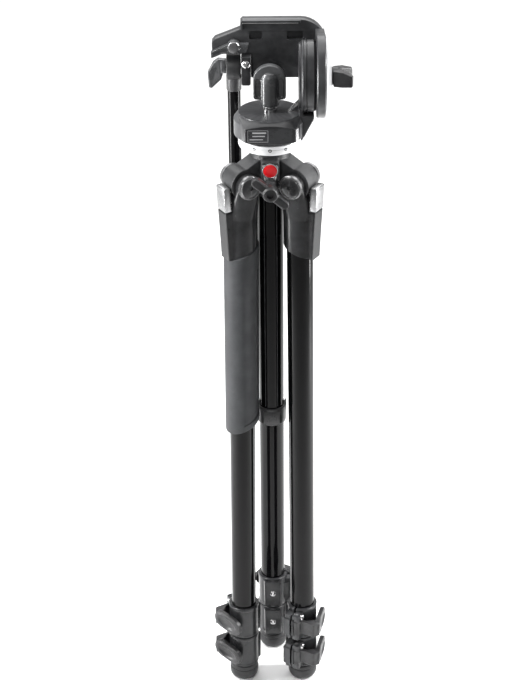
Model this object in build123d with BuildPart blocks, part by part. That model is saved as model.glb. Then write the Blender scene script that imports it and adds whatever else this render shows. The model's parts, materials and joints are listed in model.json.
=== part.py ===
"""A folded photo tripod: three telescopic legs, a rising column and a pan and tilt video head.

Everything is modelled about the column axis, in millimetres, with +Z up and -Y to the front,
where the column's clamp knob and the head's label are. The finished pieces are then shifted
so that the origin is the middle of the footprint, on the floor.
"""

import os
from math import cos, radians, sin, sqrt

from build123d import *

os.makedirs("parts", exist_ok=True)

# Clearances
RUN = 0.06  # a shaft or a tube in the bore that guides it, on the radius
LOOSE = 0.4  # between faces that pass each other
SEAT = 0.2  # between a loose piece and the pocket that holds it

# Legs. A leg's own frame has its origin on the sole, +X pointing away from the column
# and +Z up the tube.
LEG_AZIMUTHS = {"left": 210.0, "right": 330.0, "rear": 90.0}
LEG_LENGTH = 593.0  # pivot axis to sole
COLUMN_D = 25.0
LEG_SPLAY = 0.48  # degrees off the column when folded
SOLE_RADIUS = 9.0

TUBE_WALL = 1.3
UPPER_TUBE_D = 26.0
MIDDLE_TUBE_D = UPPER_TUBE_D - 2 * TUBE_WALL - 0.9
LOWER_TUBE_D = MIDDLE_TUBE_D - 2 * TUBE_WALL - 0.7
TUBE_DROP = 32.0  # how far each inner tube's top stays under the top of the one around it

FOOT_HEIGHT = 20.0
FOOT_D = LOWER_TUBE_D + 11.8
FOOT_FLOOR = 6.0  # rubber under the end of the lower tube

# Clamp collars and their levers
COLLAR_D = UPPER_TUBE_D + 6.0
COLLAR_HEIGHT = 38.5
COLLAR_GAP = 0.8
THROAT = 16.0  # length of the collar under the end of the tube it is fixed to
EAR_SPLIT = 2.4
EAR_WIDTH = 17.0
EAR_REACH = COLLAR_D / 2 + 8.5  # outer end of the ears, from the tube's axis
EAR_MARGIN = 4.0  # the ears stop this far from the collar's ends
KNUCKLE_HEIGHT = 17.0
LEVER_PIN_X = 4.8
LEVER_PIN_Y = -(COLLAR_D / 2 + 5.0)
LEVER_PIN_R = 1.5
CLAMP_BOLT_R = 1.6
CLAMP_BOLT_HEAD_R = 3.1
LEVER_THICKNESS = 3.6
PAD_AZIMUTH = 18.0  # which way the thumb pad faces, from the outward direction
PAD_STANDOFF = 2.4  # the pad's inner face, from the collar
PAD_THICKNESS = 4.6
PAD_LENGTH = 37.0
PAD_HEIGHT = 20.0
PAD_SHIFT = -4.2  # the pad's middle along its face, back towards the pin
PAD_TILT = -7.0  # degrees, the free end is the lower one
PAD_DISH = 2.2
PAD_RIM = 3.6

# Leg castings, the grip and the angle selectors
CASTING_R = UPPER_TUBE_D / 2 + 3.0
CASTING_FOOT = LEG_LENGTH - 70.0  # mean height of the slanted lower edge
CASTING_SWELL = LEG_LENGTH - 43.0  # above this the casting widens towards its cheeks
EDGE_SLANT = 22.0  # degrees, lower on the outside
CHEEK_R = 11.5
CHEEK_OUTER = CASTING_R + 3.5
CHEEK_INNER = 10.3
SOCKET_TOP = LEG_LENGTH - 23.0
FIN_HALF_WIDTH = 8.5
FIN_TOP = LEG_LENGTH - 26.0
FIN_REACH_TOP = CASTING_R + 5.3
FIN_REACH_FOOT = CASTING_R + 1.4
SELECTOR_HALF_WIDTH = 7.9
SELECTOR_TIP = CASTING_R + 6.8
GRIP_R = UPPER_TUBE_D / 2 + 4.3
GRIP_FOOT = LEG_LENGTH - 267.0

# Spider and column
PIVOT_RADIUS = COLUMN_D / 2 + UPPER_TUBE_D / 2 + 6.8  # pivot axis from the column axis
PIVOT_HEIGHT = LEG_LENGTH * cos(radians(LEG_SPLAY)) + SOLE_RADIUS * sin(radians(LEG_SPLAY))
HUB_R = COLUMN_D / 2 + 6.0
HUB_FOOT = PIVOT_HEIGHT - 16.55
HUB_TOP = HUB_FOOT + 43.3
LUG_R = UPPER_TUBE_D / 2 + 2.0
LUG_HALF_WIDTH = 9.9
PIVOT_PIN_R = 3.5
COLUMN_WALL = 1.6
COLUMN_LENGTH = 302.0
COLUMN_TOP = HUB_TOP + 4.2
COLUMN_FOOT = COLUMN_TOP - COLUMN_LENGTH
END_CAP_FOOT = COLUMN_FOOT - 4.0
END_CAP_TOP = COLUMN_FOOT + 21.0
END_CAP_D = COLUMN_D + 5.0
KNOB_HEIGHT = HUB_FOOT + 15.5  # axis of the column's clamp knob
KNOB_BAR_THICKNESS = 9.0
KNOB_BAR_LENGTH = 43.0
KNOB_BAR_ANGLE = -40.0
KNOB_STUD_R = 3.0
KNOB_BOSS_R = 6.2
KNOB_BOSS_FRONT = HUB_R + 14.5
KNOB_BAR_BACK = KNOB_BOSS_FRONT + 5.0
KNOB_FRONT = KNOB_BOSS_FRONT + 16.0
BOSS_FRONT = HUB_R + 9.5  # front of the boss that carries the badge
BADGE_R = 6.7
BADGE_HEIGHT = HUB_FOOT + 32.5

# Head
TOP_DISC_R = 30.0
TOP_DISC_FOOT = HUB_TOP + 0.6
TOP_DISC_TOP = TOP_DISC_FOOT + 9.6
SPIGOT_R = 12.0
SPIGOT_TOP = TOP_DISC_TOP + 17.0
HOUSING_R = 34.0
HOUSING_FOOT = TOP_DISC_TOP + 1.6
HOUSING_TOP = HOUSING_FOOT + 26.4
HOUSING_CHAMFER = 4.5
PANEL_FRONT = HOUSING_R + 0.6
LABEL_WIDTH = 41.0
LABEL_HEIGHT = 18.0
LABEL_THICKNESS = 0.8
ARM_HALF_WIDTH = 15.0
GUSSET_WIDTH = 6.0
PAN_KNOB_R = 8.6
PAN_STUD_R = 3.0
PAN_STUD_FOOT = HOUSING_TOP - 9.0
PAN_PADDLE_HALF_WIDTH = 15.4
PAN_PADDLE_FOOT = HOUSING_TOP + 12.0
PAN_PADDLE_DEPTH = 8.0

DRUM_R = 33.5
TILT_HEIGHT = HOUSING_TOP + DRUM_R + 0.5
FLANGE_INNER = 27.2
FLANGE_OUTER = 31.2
DRUM_OUTER = 43.0
TILT_AXLE_R = 6.0
CHEEK_DISC_R = DRUM_R + 5.5
CHEEK_IN = DRUM_OUTER + LOOSE
CHEEK_OUT = CHEEK_IN + 8.6
CAP_OUT = CHEEK_OUT + 5.8
CAP_R = CHEEK_DISC_R - 3.0
TILT_STUD_R = 3.0
TILT_KNOB_TIP = CAP_OUT + 20.2

PLATE_FRONT = 44.0  # underside of the platform, which faces forward when folded
PLATE_BACK = PLATE_FRONT + 12.0
PLATE_LEFT = -27.2
PLATE_RIGHT = 53.6
PLATE_FOOT = TILT_HEIGHT - 18.0
PLATE_TOP = TILT_HEIGHT + 39.5
PLATE_CORNER_R = 24.0
RIM = 2.4
LUG_LEFT = -54.5
LUG_FOOT = TILT_HEIGHT + 5.8
CAMERA_PLATE_WIDTH = 42.0
CAMERA_PLATE_LENGTH = 48.0
CAMERA_PLATE_X = 5.0
CAMERA_PLATE_Z = TILT_HEIGHT + 12.0
CAMERA_PLATE_FLOOR = PLATE_BACK - 4.0
CAMERA_PLATE_BACK = PLATE_BACK + 9.0
CAMERA_SCREW_R = 3.175  # quarter inch thread
CAMERA_SCREW_OUT = 5.0
CAMERA_SCREW_NECK_R = 2.4  # narrower than the thread, so that the screw stays captive
CAMERA_SCREW_HEAD_R = 8.0
CAMERA_SCREW_HEAD_DEPTH = 3.0

BAR_Y = 56.0
BAR_HINGE_HEIGHT = TILT_HEIGHT - 10.0
BAR_D = 12.8
BAR_EYE_R = BAR_D / 2 + 2.1
BAR_EYE_WIDTH = BAR_D + 1.2
BAR_SOCKET_LEFT = -27.0
BAR_X = BAR_SOCKET_LEFT - LOOSE - BAR_EYE_WIDTH / 2
BAR_LENGTH = 278.0
BAR_FOOT = BAR_HINGE_HEIGHT - BAR_LENGTH
BAR_GRIP_D = BAR_D + 9.2
BAR_GRIP_FOOT = BAR_FOOT - 4.0
BAR_GRIP_TOP = BAR_FOOT + 104.0
BAR_STUD_R = 3.0
BAR_SOCKET_RIGHT = -17.6
BAR_SOCKET_FRONT = 36.5
BAR_SOCKET_FOOT = TILT_HEIGHT - 23.5

QR_PIVOT_X = -33.5
QR_PIVOT_Z = TILT_HEIGHT + 15.0
QR_PIVOT_R = 2.5
QR_THICKNESS = 6.5

# The column axis in the finished frame, whose origin is the middle of the footprint
COLUMN_AXIS = (-6.5, -10.0)
COLUMN_PLACE = Location((COLUMN_AXIS[0], COLUMN_AXIS[1], 0))


def write(piece, name, place):
    """Label a finished piece, put it in its place and write its file."""
    piece.part.label = name
    piece.part.move(place)
    export_step(piece.part, f"parts/{name}.step")


def leg_place(azimuth):
    """Where a leg's own frame lies: its pivot on the spider, splayed a little off the column."""
    pivot = Location((PIVOT_RADIUS, 0, PIVOT_HEIGHT), (0, -LEG_SPLAY, 0))
    sole = Location((0, 0, -LEG_LENGTH))
    return COLUMN_PLACE * Location((0, 0, 0), (0, 0, azimuth)) * pivot * sole


def tube(outer_d, foot, top):
    """An aluminium leg section, open at both ends."""
    with BuildPart() as piece:
        with BuildSketch(Plane.XY.offset(foot)):
            Circle(outer_d / 2)
            Circle(outer_d / 2 - TUBE_WALL, mode=Mode.SUBTRACT)
        extrude(amount=top - foot)
    return piece


# ---------------------------------------------------------------- leg clamps
LOWER_COLLAR_FOOT = FOOT_HEIGHT + COLLAR_GAP
UPPER_COLLAR_FOOT = LOWER_COLLAR_FOOT + COLLAR_HEIGHT + COLLAR_GAP
MIDDLE_TUBE_FOOT = LOWER_COLLAR_FOOT + THROAT
UPPER_TUBE_FOOT = UPPER_COLLAR_FOOT + THROAT
UPPER_TUBE_TOP = SOCKET_TOP
MIDDLE_TUBE_TOP = UPPER_TUBE_TOP - TUBE_DROP
LOWER_TUBE_TOP = MIDDLE_TUBE_TOP - TUBE_DROP


def collar(foot, held_d, passing_d):
    """A split clamp: a socket fixed on one tube, a throat that guides the next, two ears."""
    top = foot + COLLAR_HEIGHT
    middle = foot + COLLAR_HEIGHT / 2
    with BuildPart() as piece:
        with BuildSketch(Plane.XY.offset(foot)):
            Circle(COLLAR_D / 2)
        extrude(amount=COLLAR_HEIGHT)
        chamfer(piece.edges().filter_by(GeomType.CIRCLE).group_by(Axis.Z)[0], 1.2)
        ear_length = EAR_REACH - COLLAR_D / 4
        with BuildSketch(Plane.XY.offset(foot + EAR_MARGIN)):
            with Locations((0, -COLLAR_D / 4 - ear_length / 2)):
                RectangleRounded(EAR_WIDTH, ear_length, 2.5)
        extrude(amount=COLLAR_HEIGHT - 2 * EAR_MARGIN)
        # the bores, wide for the tube it holds and narrow for the one that slides
        with BuildSketch(Plane.XY.offset(foot + THROAT)):
            Circle(held_d / 2)
        extrude(amount=COLLAR_HEIGHT - THROAT, mode=Mode.SUBTRACT)
        with BuildSketch(Plane.XY.offset(foot)):
            Circle(passing_d / 2 + RUN)
        extrude(amount=THROAT, mode=Mode.SUBTRACT)
        # the split between the ears
        with BuildSketch(Plane.XY.offset(foot)):
            with Locations((0, -EAR_REACH / 2 - 2)):
                Rectangle(EAR_SPLIT, EAR_REACH)
        extrude(amount=COLLAR_HEIGHT, mode=Mode.SUBTRACT)
        # the knuckle that the lever turns in
        with BuildSketch(Plane.XY.offset(middle - KNUCKLE_HEIGHT / 2)):
            with Locations((LEVER_PIN_X, LEVER_PIN_Y)):
                Circle(LEVER_THICKNESS + 1.4)
        extrude(amount=KNUCKLE_HEIGHT, mode=Mode.SUBTRACT)
        with BuildSketch(Plane.XY.offset(middle - KNUCKLE_HEIGHT / 2)):
            with Locations((LEVER_PIN_X + EAR_WIDTH / 2, LEVER_PIN_Y + 5)):
                Rectangle(EAR_WIDTH, 2 * (LEVER_THICKNESS + 1.4) + 10)
            Circle(COLLAR_D / 2, mode=Mode.SUBTRACT)
        extrude(amount=KNUCKLE_HEIGHT, mode=Mode.SUBTRACT)
        # holes for the lever's pin and the clamp bolt
        with BuildSketch(Plane.XY.offset(foot + EAR_MARGIN)):
            with Locations((LEVER_PIN_X, LEVER_PIN_Y)):
                Circle(LEVER_PIN_R)
        extrude(amount=COLLAR_HEIGHT - 2 * EAR_MARGIN, mode=Mode.SUBTRACT)
        with BuildSketch(Plane.YZ.offset(-EAR_WIDTH / 2)):
            with Locations(clamp_bolt_spot(top)):
                Circle(CLAMP_BOLT_R)
        extrude(amount=EAR_WIDTH, mode=Mode.SUBTRACT)
    return piece


def clamp_bolt_spot(collar_top):
    """The clamp bolt's axis, as Y and height: near the top of the ears, inside the lever's pin."""
    return (LEVER_PIN_Y + LEVER_PIN_R + CLAMP_BOLT_R + 0.8, collar_top - EAR_MARGIN - 3.4)


def collar_bolts(foot):
    """The bolt across a collar's ears, with its head outside, and the lever's upright pin."""
    spot = clamp_bolt_spot(foot + COLLAR_HEIGHT)
    with BuildPart() as piece:
        with BuildSketch(Plane.YZ.offset(-EAR_WIDTH / 2)):
            with Locations(spot):
                Circle(CLAMP_BOLT_R)
        extrude(amount=EAR_WIDTH)
        with BuildSketch(Plane.YZ.offset(EAR_WIDTH / 2)):
            with Locations(spot):
                Circle(CLAMP_BOLT_HEAD_R)
        extrude(amount=2.2)
        with BuildSketch(Plane.XY.offset(foot + EAR_MARGIN)):
            with Locations((LEVER_PIN_X, LEVER_PIN_Y)):
                Circle(LEVER_PIN_R)
        extrude(amount=COLLAR_HEIGHT - 2 * EAR_MARGIN)
    return piece


def clamp_lever(foot):
    """A cam lever: a boss on its pin, an arm out past the ears and a dished thumb pad."""
    middle = foot + COLLAR_HEIGHT / 2
    height = KNUCKLE_HEIGHT - 2 * SEAT
    facing = radians(PAD_AZIMUTH)
    pad_inner = COLLAR_D / 2 + PAD_STANDOFF
    pad_outer = pad_inner + PAD_THICKNESS
    pad_back = PAD_SHIFT - PAD_LENGTH / 2
    pad = Plane(
        origin=(0, 0, middle),
        x_dir=(-sin(facing), cos(facing), 0),
        z_dir=(cos(facing), sin(facing), 0),
    )
    boss = LEVER_THICKNESS + 0.9

    def spot(out, along):
        """A point of the pad seen from above: how far out it is and how far along."""
        return (
            out * cos(facing) - along * sin(facing),
            out * sin(facing) + along * cos(facing),
        )

    with BuildPart() as piece:
        with BuildSketch(Plane.XY.offset(middle - height / 2)):
            with Locations((LEVER_PIN_X, LEVER_PIN_Y)):
                Circle(boss)
            with BuildLine():
                Polyline(
                    (LEVER_PIN_X, LEVER_PIN_Y - boss),
                    (LEVER_PIN_X + 5.2, LEVER_PIN_Y + 1.5),
                    (pad_outer + 2, LEVER_PIN_Y + 1.5),
                    spot(pad_outer, pad_back + 2),
                    spot(pad_inner + 0.5, pad_back + 8),
                    (LEVER_PIN_X + 9, LEVER_PIN_Y + 5.5),
                    (LEVER_PIN_X, LEVER_PIN_Y + 3),
                    close=True,
                )
            make_face()
        extrude(amount=height)
        # the thumb pad, a long oval that stands off the collar, with a dish for the thumb
        with BuildSketch(pad.offset(pad_inner)):
            with Locations(Location((PAD_SHIFT, 0), PAD_TILT)):
                SlotOverall(PAD_LENGTH, PAD_HEIGHT)
        extrude(amount=PAD_THICKNESS)
        with BuildSketch(pad.offset(pad_outer - PAD_DISH)):
            with Locations(Location((PAD_SHIFT, 0), PAD_TILT)):
                SlotOverall(PAD_LENGTH - 2 * PAD_RIM, PAD_HEIGHT - 2 * PAD_RIM)
        extrude(amount=PAD_DISH, mode=Mode.SUBTRACT)
        # nothing of the lever may reach the collar or the pin
        with BuildSketch(Plane.XY.offset(foot)):
            Circle(COLLAR_D / 2 + 0.8)
        extrude(amount=COLLAR_HEIGHT, mode=Mode.SUBTRACT)
        with BuildSketch(Plane.XY.offset(middle - height / 2)):
            with Locations((LEVER_PIN_X, LEVER_PIN_Y)):
                Circle(LEVER_PIN_R + RUN)
        extrude(amount=height, mode=Mode.SUBTRACT)
    return piece


def foot_piece():
    """A rubber foot: a cup round the end of the lowest tube with a domed sole."""
    radius = FOOT_D / 2
    with BuildPart() as piece:
        with BuildSketch(Plane.XZ):
            with BuildLine():
                Line((0, 0), (SOLE_RADIUS, 0))
                ThreePointArc((SOLE_RADIUS, 0), (radius - 1.6, 2.6), (radius, 8))
                Polyline((radius, 8), (radius, FOOT_HEIGHT - 5), (radius - 1.8, FOOT_HEIGHT))
                Polyline(
                    (radius - 1.8, FOOT_HEIGHT),
                    (LOWER_TUBE_D / 2, FOOT_HEIGHT),
                    (LOWER_TUBE_D / 2, FOOT_FLOOR),
                    (0, FOOT_FLOOR),
                    (0, 0),
                )
            make_face()
        revolve(axis=Axis.Z)
    return piece


# ---------------------------------------------------------------- leg tops
EDGE_PLANE = Plane(
    origin=(0, 0, CASTING_FOOT),
    x_dir=(cos(radians(EDGE_SLANT)), 0, -sin(radians(EDGE_SLANT))),
    z_dir=(sin(radians(EDGE_SLANT)), 0, cos(radians(EDGE_SLANT))),
)


def casting():
    """A leg's top casting: a socket for the tube, two pivot cheeks, a fin with a selector bay."""
    foot = CASTING_FOOT - 12
    with BuildPart() as piece:
        with BuildSketch(Plane.XZ.offset(-CHEEK_OUTER)):
            with BuildLine():
                Polyline(
                    (CHEEK_R, LEG_LENGTH),
                    (CASTING_R, CASTING_SWELL),
                    (-CASTING_R, CASTING_SWELL),
                    (-CHEEK_R, LEG_LENGTH),
                )
                ThreePointArc(
                    (-CHEEK_R, LEG_LENGTH), (0, LEG_LENGTH + CHEEK_R), (CHEEK_R, LEG_LENGTH)
                )
            make_face()
        extrude(amount=2 * CHEEK_OUTER)
        with BuildSketch(Plane.YZ.offset(-CASTING_R)):
            with BuildLine():
                Polyline(
                    (CASTING_R, CASTING_SWELL),
                    (CHEEK_OUTER, LEG_LENGTH - CHEEK_R),
                    (CHEEK_OUTER, LEG_LENGTH + CHEEK_R),
                    (-CHEEK_OUTER, LEG_LENGTH + CHEEK_R),
                    (-CHEEK_OUTER, LEG_LENGTH - CHEEK_R),
                    (-CASTING_R, CASTING_SWELL),
                    close=True,
                )
            make_face()
        extrude(amount=2 * CASTING_R, mode=Mode.INTERSECT)
        with BuildSketch(Plane.XY.offset(CASTING_SWELL)):
            with GridLocations(0, 2 * (CHEEK_OUTER - CASTING_R), 1, 2):
                Circle(CASTING_R)
        extrude(amount=CASTING_R * 5, mode=Mode.INTERSECT)
        with BuildSketch(Plane.XY.offset(foot)):
            Circle(CASTING_R)
        extrude(amount=CASTING_SWELL - foot)
        with BuildSketch(Plane.XZ.offset(-FIN_HALF_WIDTH)):
            with BuildLine():
                Polyline(
                    (8, foot),
                    (FIN_REACH_FOOT - 0.6, foot),
                    (FIN_REACH_TOP, FIN_TOP),
                    (8, FIN_TOP),
                    close=True,
                )
            make_face()
        extrude(amount=2 * FIN_HALF_WIDTH)
        split(bisect_by=EDGE_PLANE, keep=Keep.TOP)
        # room for the spider's lug, for the selector and for the tube
        with BuildSketch(Plane.XZ.offset(-CHEEK_INNER)):
            with Locations((0, LEG_LENGTH)):
                Circle(LUG_R + LOOSE)
        extrude(amount=2 * CHEEK_INNER, mode=Mode.SUBTRACT)
        with BuildSketch(Plane.XY.offset(FIN_TOP)):
            with Locations((30, 0)):
                Rectangle(2 * (30 - selector_inner()), 2 * (SELECTOR_HALF_WIDTH + LOOSE))
        extrude(amount=60, mode=Mode.SUBTRACT)
        with BuildSketch(Plane.XY.offset(foot)):
            Circle(UPPER_TUBE_D / 2)
        extrude(amount=SOCKET_TOP - foot, mode=Mode.SUBTRACT)
        with BuildSketch(Plane.XZ.offset(-CHEEK_OUTER)):
            with Locations((0, LEG_LENGTH)):
                Circle(PIVOT_PIN_R + RUN)
        extrude(amount=2 * CHEEK_OUTER, mode=Mode.SUBTRACT)
    return piece


def selector_inner():
    """Inner face of the selector's bay, just outside the tube's socket."""
    return UPPER_TUBE_D / 2 + 0.6


def selector():
    """The angle selector: a curved tab on the outside of the casting, under the spider's lug."""
    reach = LUG_R + 3 * LOOSE
    inner = selector_inner() + LOOSE
    drop = sqrt(reach**2 - inner**2)
    with BuildPart() as piece:
        with BuildSketch(Plane.XZ.offset(-SELECTOR_HALF_WIDTH)):
            with BuildLine():
                Polyline(
                    (reach, LEG_LENGTH - 1),
                    (SELECTOR_TIP, LEG_LENGTH - 1),
                    (FIN_REACH_TOP, FIN_TOP + SEAT),
                    (inner, FIN_TOP + SEAT),
                    (inner, LEG_LENGTH - drop),
                )
                ThreePointArc(
                    (inner, LEG_LENGTH - drop),
                    (reach * cos(radians(18)), LEG_LENGTH - reach * sin(radians(18))),
                    (reach, LEG_LENGTH - 1),
                )
            make_face()
        extrude(amount=2 * SELECTOR_HALF_WIDTH)
        fillet(piece.edges().filter_by(Axis.Z, tolerance=10).group_by(Axis.X)[-1], 2.5)
    return piece


def grip():
    """The rubber grip round one upper tube, with slanted ends that follow the casting's edge."""
    top = EDGE_PLANE.offset(-LOOSE)
    foot = Plane(origin=(0, 0, GRIP_FOOT), x_dir=EDGE_PLANE.x_dir, z_dir=EDGE_PLANE.z_dir)
    with BuildPart() as piece:
        with BuildSketch(Plane.XY.offset(GRIP_FOOT - 12)):
            Circle(GRIP_R)
            Circle(UPPER_TUBE_D / 2, mode=Mode.SUBTRACT)
        extrude(amount=CASTING_FOOT - GRIP_FOOT + 24)
        split(bisect_by=top, keep=Keep.BOTTOM)
        split(bisect_by=foot, keep=Keep.TOP)
    return piece


for leg, azimuth in LEG_AZIMUTHS.items():
    place = leg_place(azimuth)
    write(casting(), f"{leg}_casting", place)
    write(selector(), f"{leg}_selector", place)
    write(tube(UPPER_TUBE_D, UPPER_TUBE_FOOT, UPPER_TUBE_TOP), f"{leg}_upper_tube", place)
    write(tube(MIDDLE_TUBE_D, MIDDLE_TUBE_FOOT, MIDDLE_TUBE_TOP), f"{leg}_middle_tube", place)
    write(tube(LOWER_TUBE_D, FOOT_FLOOR, LOWER_TUBE_TOP), f"{leg}_lower_tube", place)
    write(collar(UPPER_COLLAR_FOOT, UPPER_TUBE_D, MIDDLE_TUBE_D), f"{leg}_upper_collar", place)
    write(collar(LOWER_COLLAR_FOOT, MIDDLE_TUBE_D, LOWER_TUBE_D), f"{leg}_lower_collar", place)
    write(collar_bolts(UPPER_COLLAR_FOOT), f"{leg}_upper_bolts", place)
    write(collar_bolts(LOWER_COLLAR_FOOT), f"{leg}_lower_bolts", place)
    write(clamp_lever(UPPER_COLLAR_FOOT), f"{leg}_upper_lever", place)
    write(clamp_lever(LOWER_COLLAR_FOOT), f"{leg}_lower_lever", place)
    write(foot_piece(), f"{leg}_foot", place)
write(grip(), "left_grip", leg_place(LEG_AZIMUTHS["left"]))

# ---------------------------------------------------------------- spider and column
with BuildPart() as spider:
    with BuildSketch(Plane.XY.offset(HUB_FOOT)):
        Circle(HUB_R)
    extrude(amount=HUB_TOP - HUB_FOOT)
    for azimuth in LEG_AZIMUTHS.values():
        arm = Plane(
            origin=(0, 0, PIVOT_HEIGHT),
            x_dir=(cos(radians(azimuth)), sin(radians(azimuth)), 0),
            z_dir=(sin(radians(azimuth)), -cos(radians(azimuth)), 0),
        )
        with BuildSketch(arm.offset(-LUG_HALF_WIDTH)):
            with Locations((PIVOT_RADIUS, 0)):
                Circle(LUG_R)
            with BuildLine():
                Polyline(
                    (HUB_R / 2, -7.5),
                    (PIVOT_RADIUS, -7.5),
                    (PIVOT_RADIUS, LUG_R - 0.5),
                    (HUB_R - 2, HUB_TOP - PIVOT_HEIGHT - 5),
                    (HUB_R / 2, HUB_TOP - PIVOT_HEIGHT - 5),
                    close=True,
                )
            make_face()
        extrude(amount=2 * LUG_HALF_WIDTH)
    # the boss behind the badge and the one that the clamp knob screws into
    with BuildSketch(Plane.XZ.offset(HUB_R / 2)):
        with Locations((0, (HUB_TOP - 2 + BADGE_HEIGHT - 10.5) / 2)):
            Rectangle(17, HUB_TOP - 2 - BADGE_HEIGHT + 10.5)
    extrude(amount=BOSS_FRONT - HUB_R / 2)
    with BuildSketch(Plane.XZ.offset(HUB_R / 2)):
        with Locations((0, KNOB_HEIGHT)):
            Circle(KNOB_BOSS_R)
    extrude(amount=KNOB_BOSS_FRONT - HUB_R / 2)
    # the column's bore, the pivot pins' holes and the clamp knob's thread
    with BuildSketch(Plane.XY.offset(HUB_FOOT)):
        Circle(COLUMN_D / 2 + RUN)
    extrude(amount=HUB_TOP - HUB_FOOT, mode=Mode.SUBTRACT)
    for azimuth in LEG_AZIMUTHS.values():
        pin_plane = Plane(
            origin=(0, 0, PIVOT_HEIGHT),
            x_dir=(cos(radians(azimuth)), sin(radians(azimuth)), 0),
            z_dir=(sin(radians(azimuth)), -cos(radians(azimuth)), 0),
        )
        with BuildSketch(pin_plane.offset(-LUG_HALF_WIDTH)):
            with Locations((PIVOT_RADIUS, 0)):
                Circle(PIVOT_PIN_R)
        extrude(amount=2 * LUG_HALF_WIDTH, mode=Mode.SUBTRACT)
    with BuildSketch(Plane.XZ.offset(COLUMN_D / 2)):
        with Locations((0, KNOB_HEIGHT)):
            Circle(KNOB_STUD_R + RUN)
    extrude(amount=KNOB_BOSS_FRONT, mode=Mode.SUBTRACT)
write(spider, "spider", COLUMN_PLACE)

with BuildPart() as pivot_pins:
    for azimuth in LEG_AZIMUTHS.values():
        pin_plane = Plane(
            origin=(0, 0, PIVOT_HEIGHT),
            x_dir=(cos(radians(azimuth)), sin(radians(azimuth)), 0),
            z_dir=(sin(radians(azimuth)), -cos(radians(azimuth)), 0),
        )
        with BuildSketch(pin_plane.offset(-CHEEK_OUTER)):
            with Locations((PIVOT_RADIUS, 0)):
                Circle(PIVOT_PIN_R)
        extrude(amount=2 * CHEEK_OUTER)
write(pivot_pins, "pivot_pins", COLUMN_PLACE)

with BuildPart() as badge:
    with BuildSketch(Plane.XZ.offset(BOSS_FRONT)):
        with Locations((0, BADGE_HEIGHT)):
            Circle(BADGE_R)
    extrude(amount=1.6)
    fillet(badge.edges().filter_by(GeomType.CIRCLE).sort_by(Axis.Y)[0], 0.7)
write(badge, "badge", COLUMN_PLACE)

with BuildPart() as column_knob:
    with BuildSketch(Plane.XZ.offset(KNOB_BOSS_FRONT + SEAT)):
        with Locations((0, KNOB_HEIGHT)):
            Circle(KNOB_BOSS_R - 0.6)
    extrude(amount=KNOB_FRONT - KNOB_BOSS_FRONT - SEAT)
    with BuildSketch(Plane.XZ.offset(KNOB_BAR_BACK)):
        with Locations(Location((0, KNOB_HEIGHT), KNOB_BAR_ANGLE)):
            SlotOverall(KNOB_BAR_LENGTH, KNOB_BAR_THICKNESS)
    extrude(amount=KNOB_BAR_THICKNESS - 1)
    fillet(column_knob.edges().group_by(Axis.Y)[0].filter_by(GeomType.CIRCLE), 1.2)
    with BuildSketch(Plane.XZ.offset(KNOB_FRONT)):
        with Locations((0, KNOB_HEIGHT)):
            RegularPolygon(3.1, 6)
    extrude(amount=-3, mode=Mode.SUBTRACT)
    with BuildSketch(Plane.XZ.offset(COLUMN_D / 2 + 1)):
        with Locations((0, KNOB_HEIGHT)):
            Circle(KNOB_STUD_R)
    extrude(amount=KNOB_BAR_BACK - COLUMN_D / 2 - 1)
write(column_knob, "column_knob", COLUMN_PLACE)

with BuildPart() as column:
    with BuildSketch(Plane.XY.offset(COLUMN_FOOT)):
        Circle(COLUMN_D / 2)
        Circle(COLUMN_D / 2 - COLUMN_WALL, mode=Mode.SUBTRACT)
    extrude(amount=COLUMN_TOP - COLUMN_FOOT)
write(column, "column", COLUMN_PLACE)

with BuildPart() as column_end_cap:
    with BuildSketch(Plane.XY.offset(END_CAP_FOOT)):
        Circle(END_CAP_D / 2)
    extrude(amount=END_CAP_TOP - END_CAP_FOOT)
    chamfer(column_end_cap.edges().filter_by(GeomType.CIRCLE).sort_by(Axis.Z)[0], 2)
    with BuildSketch(Plane.XY.offset(COLUMN_FOOT)):
        Circle(COLUMN_D / 2)
    extrude(amount=END_CAP_TOP - COLUMN_FOOT, mode=Mode.SUBTRACT)
write(column_end_cap, "column_end_cap", COLUMN_PLACE)

with BuildPart() as top_disc:
    with BuildSketch(Plane.XZ):
        with BuildLine():
            Polyline(
                (0, COLUMN_TOP),
                (COLUMN_D / 2, COLUMN_TOP),
                (COLUMN_D / 2, TOP_DISC_FOOT),
                (HUB_R, TOP_DISC_FOOT),
                (HUB_R, TOP_DISC_FOOT + 1.6),
                (TOP_DISC_R - 4, TOP_DISC_FOOT + 2.4),
                (TOP_DISC_R, TOP_DISC_TOP - 3),
                (TOP_DISC_R, TOP_DISC_TOP),
                (0, TOP_DISC_TOP),
                close=True,
            )
        make_face()
    revolve(axis=Axis.Z)
write(top_disc, "top_disc", COLUMN_PLACE)

# ---------------------------------------------------------------- pan housing
with BuildPart() as pan_base:
    with BuildSketch(Plane.XY.offset(TOP_DISC_TOP)):
        Circle(TOP_DISC_R - 3)
    extrude(amount=HOUSING_FOOT - LOOSE - TOP_DISC_TOP)
    with BuildSketch(Plane.XY.offset(TOP_DISC_TOP)):
        Circle(SPIGOT_R)
    extrude(amount=SPIGOT_TOP - TOP_DISC_TOP)
write(pan_base, "pan_base", COLUMN_PLACE)

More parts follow.
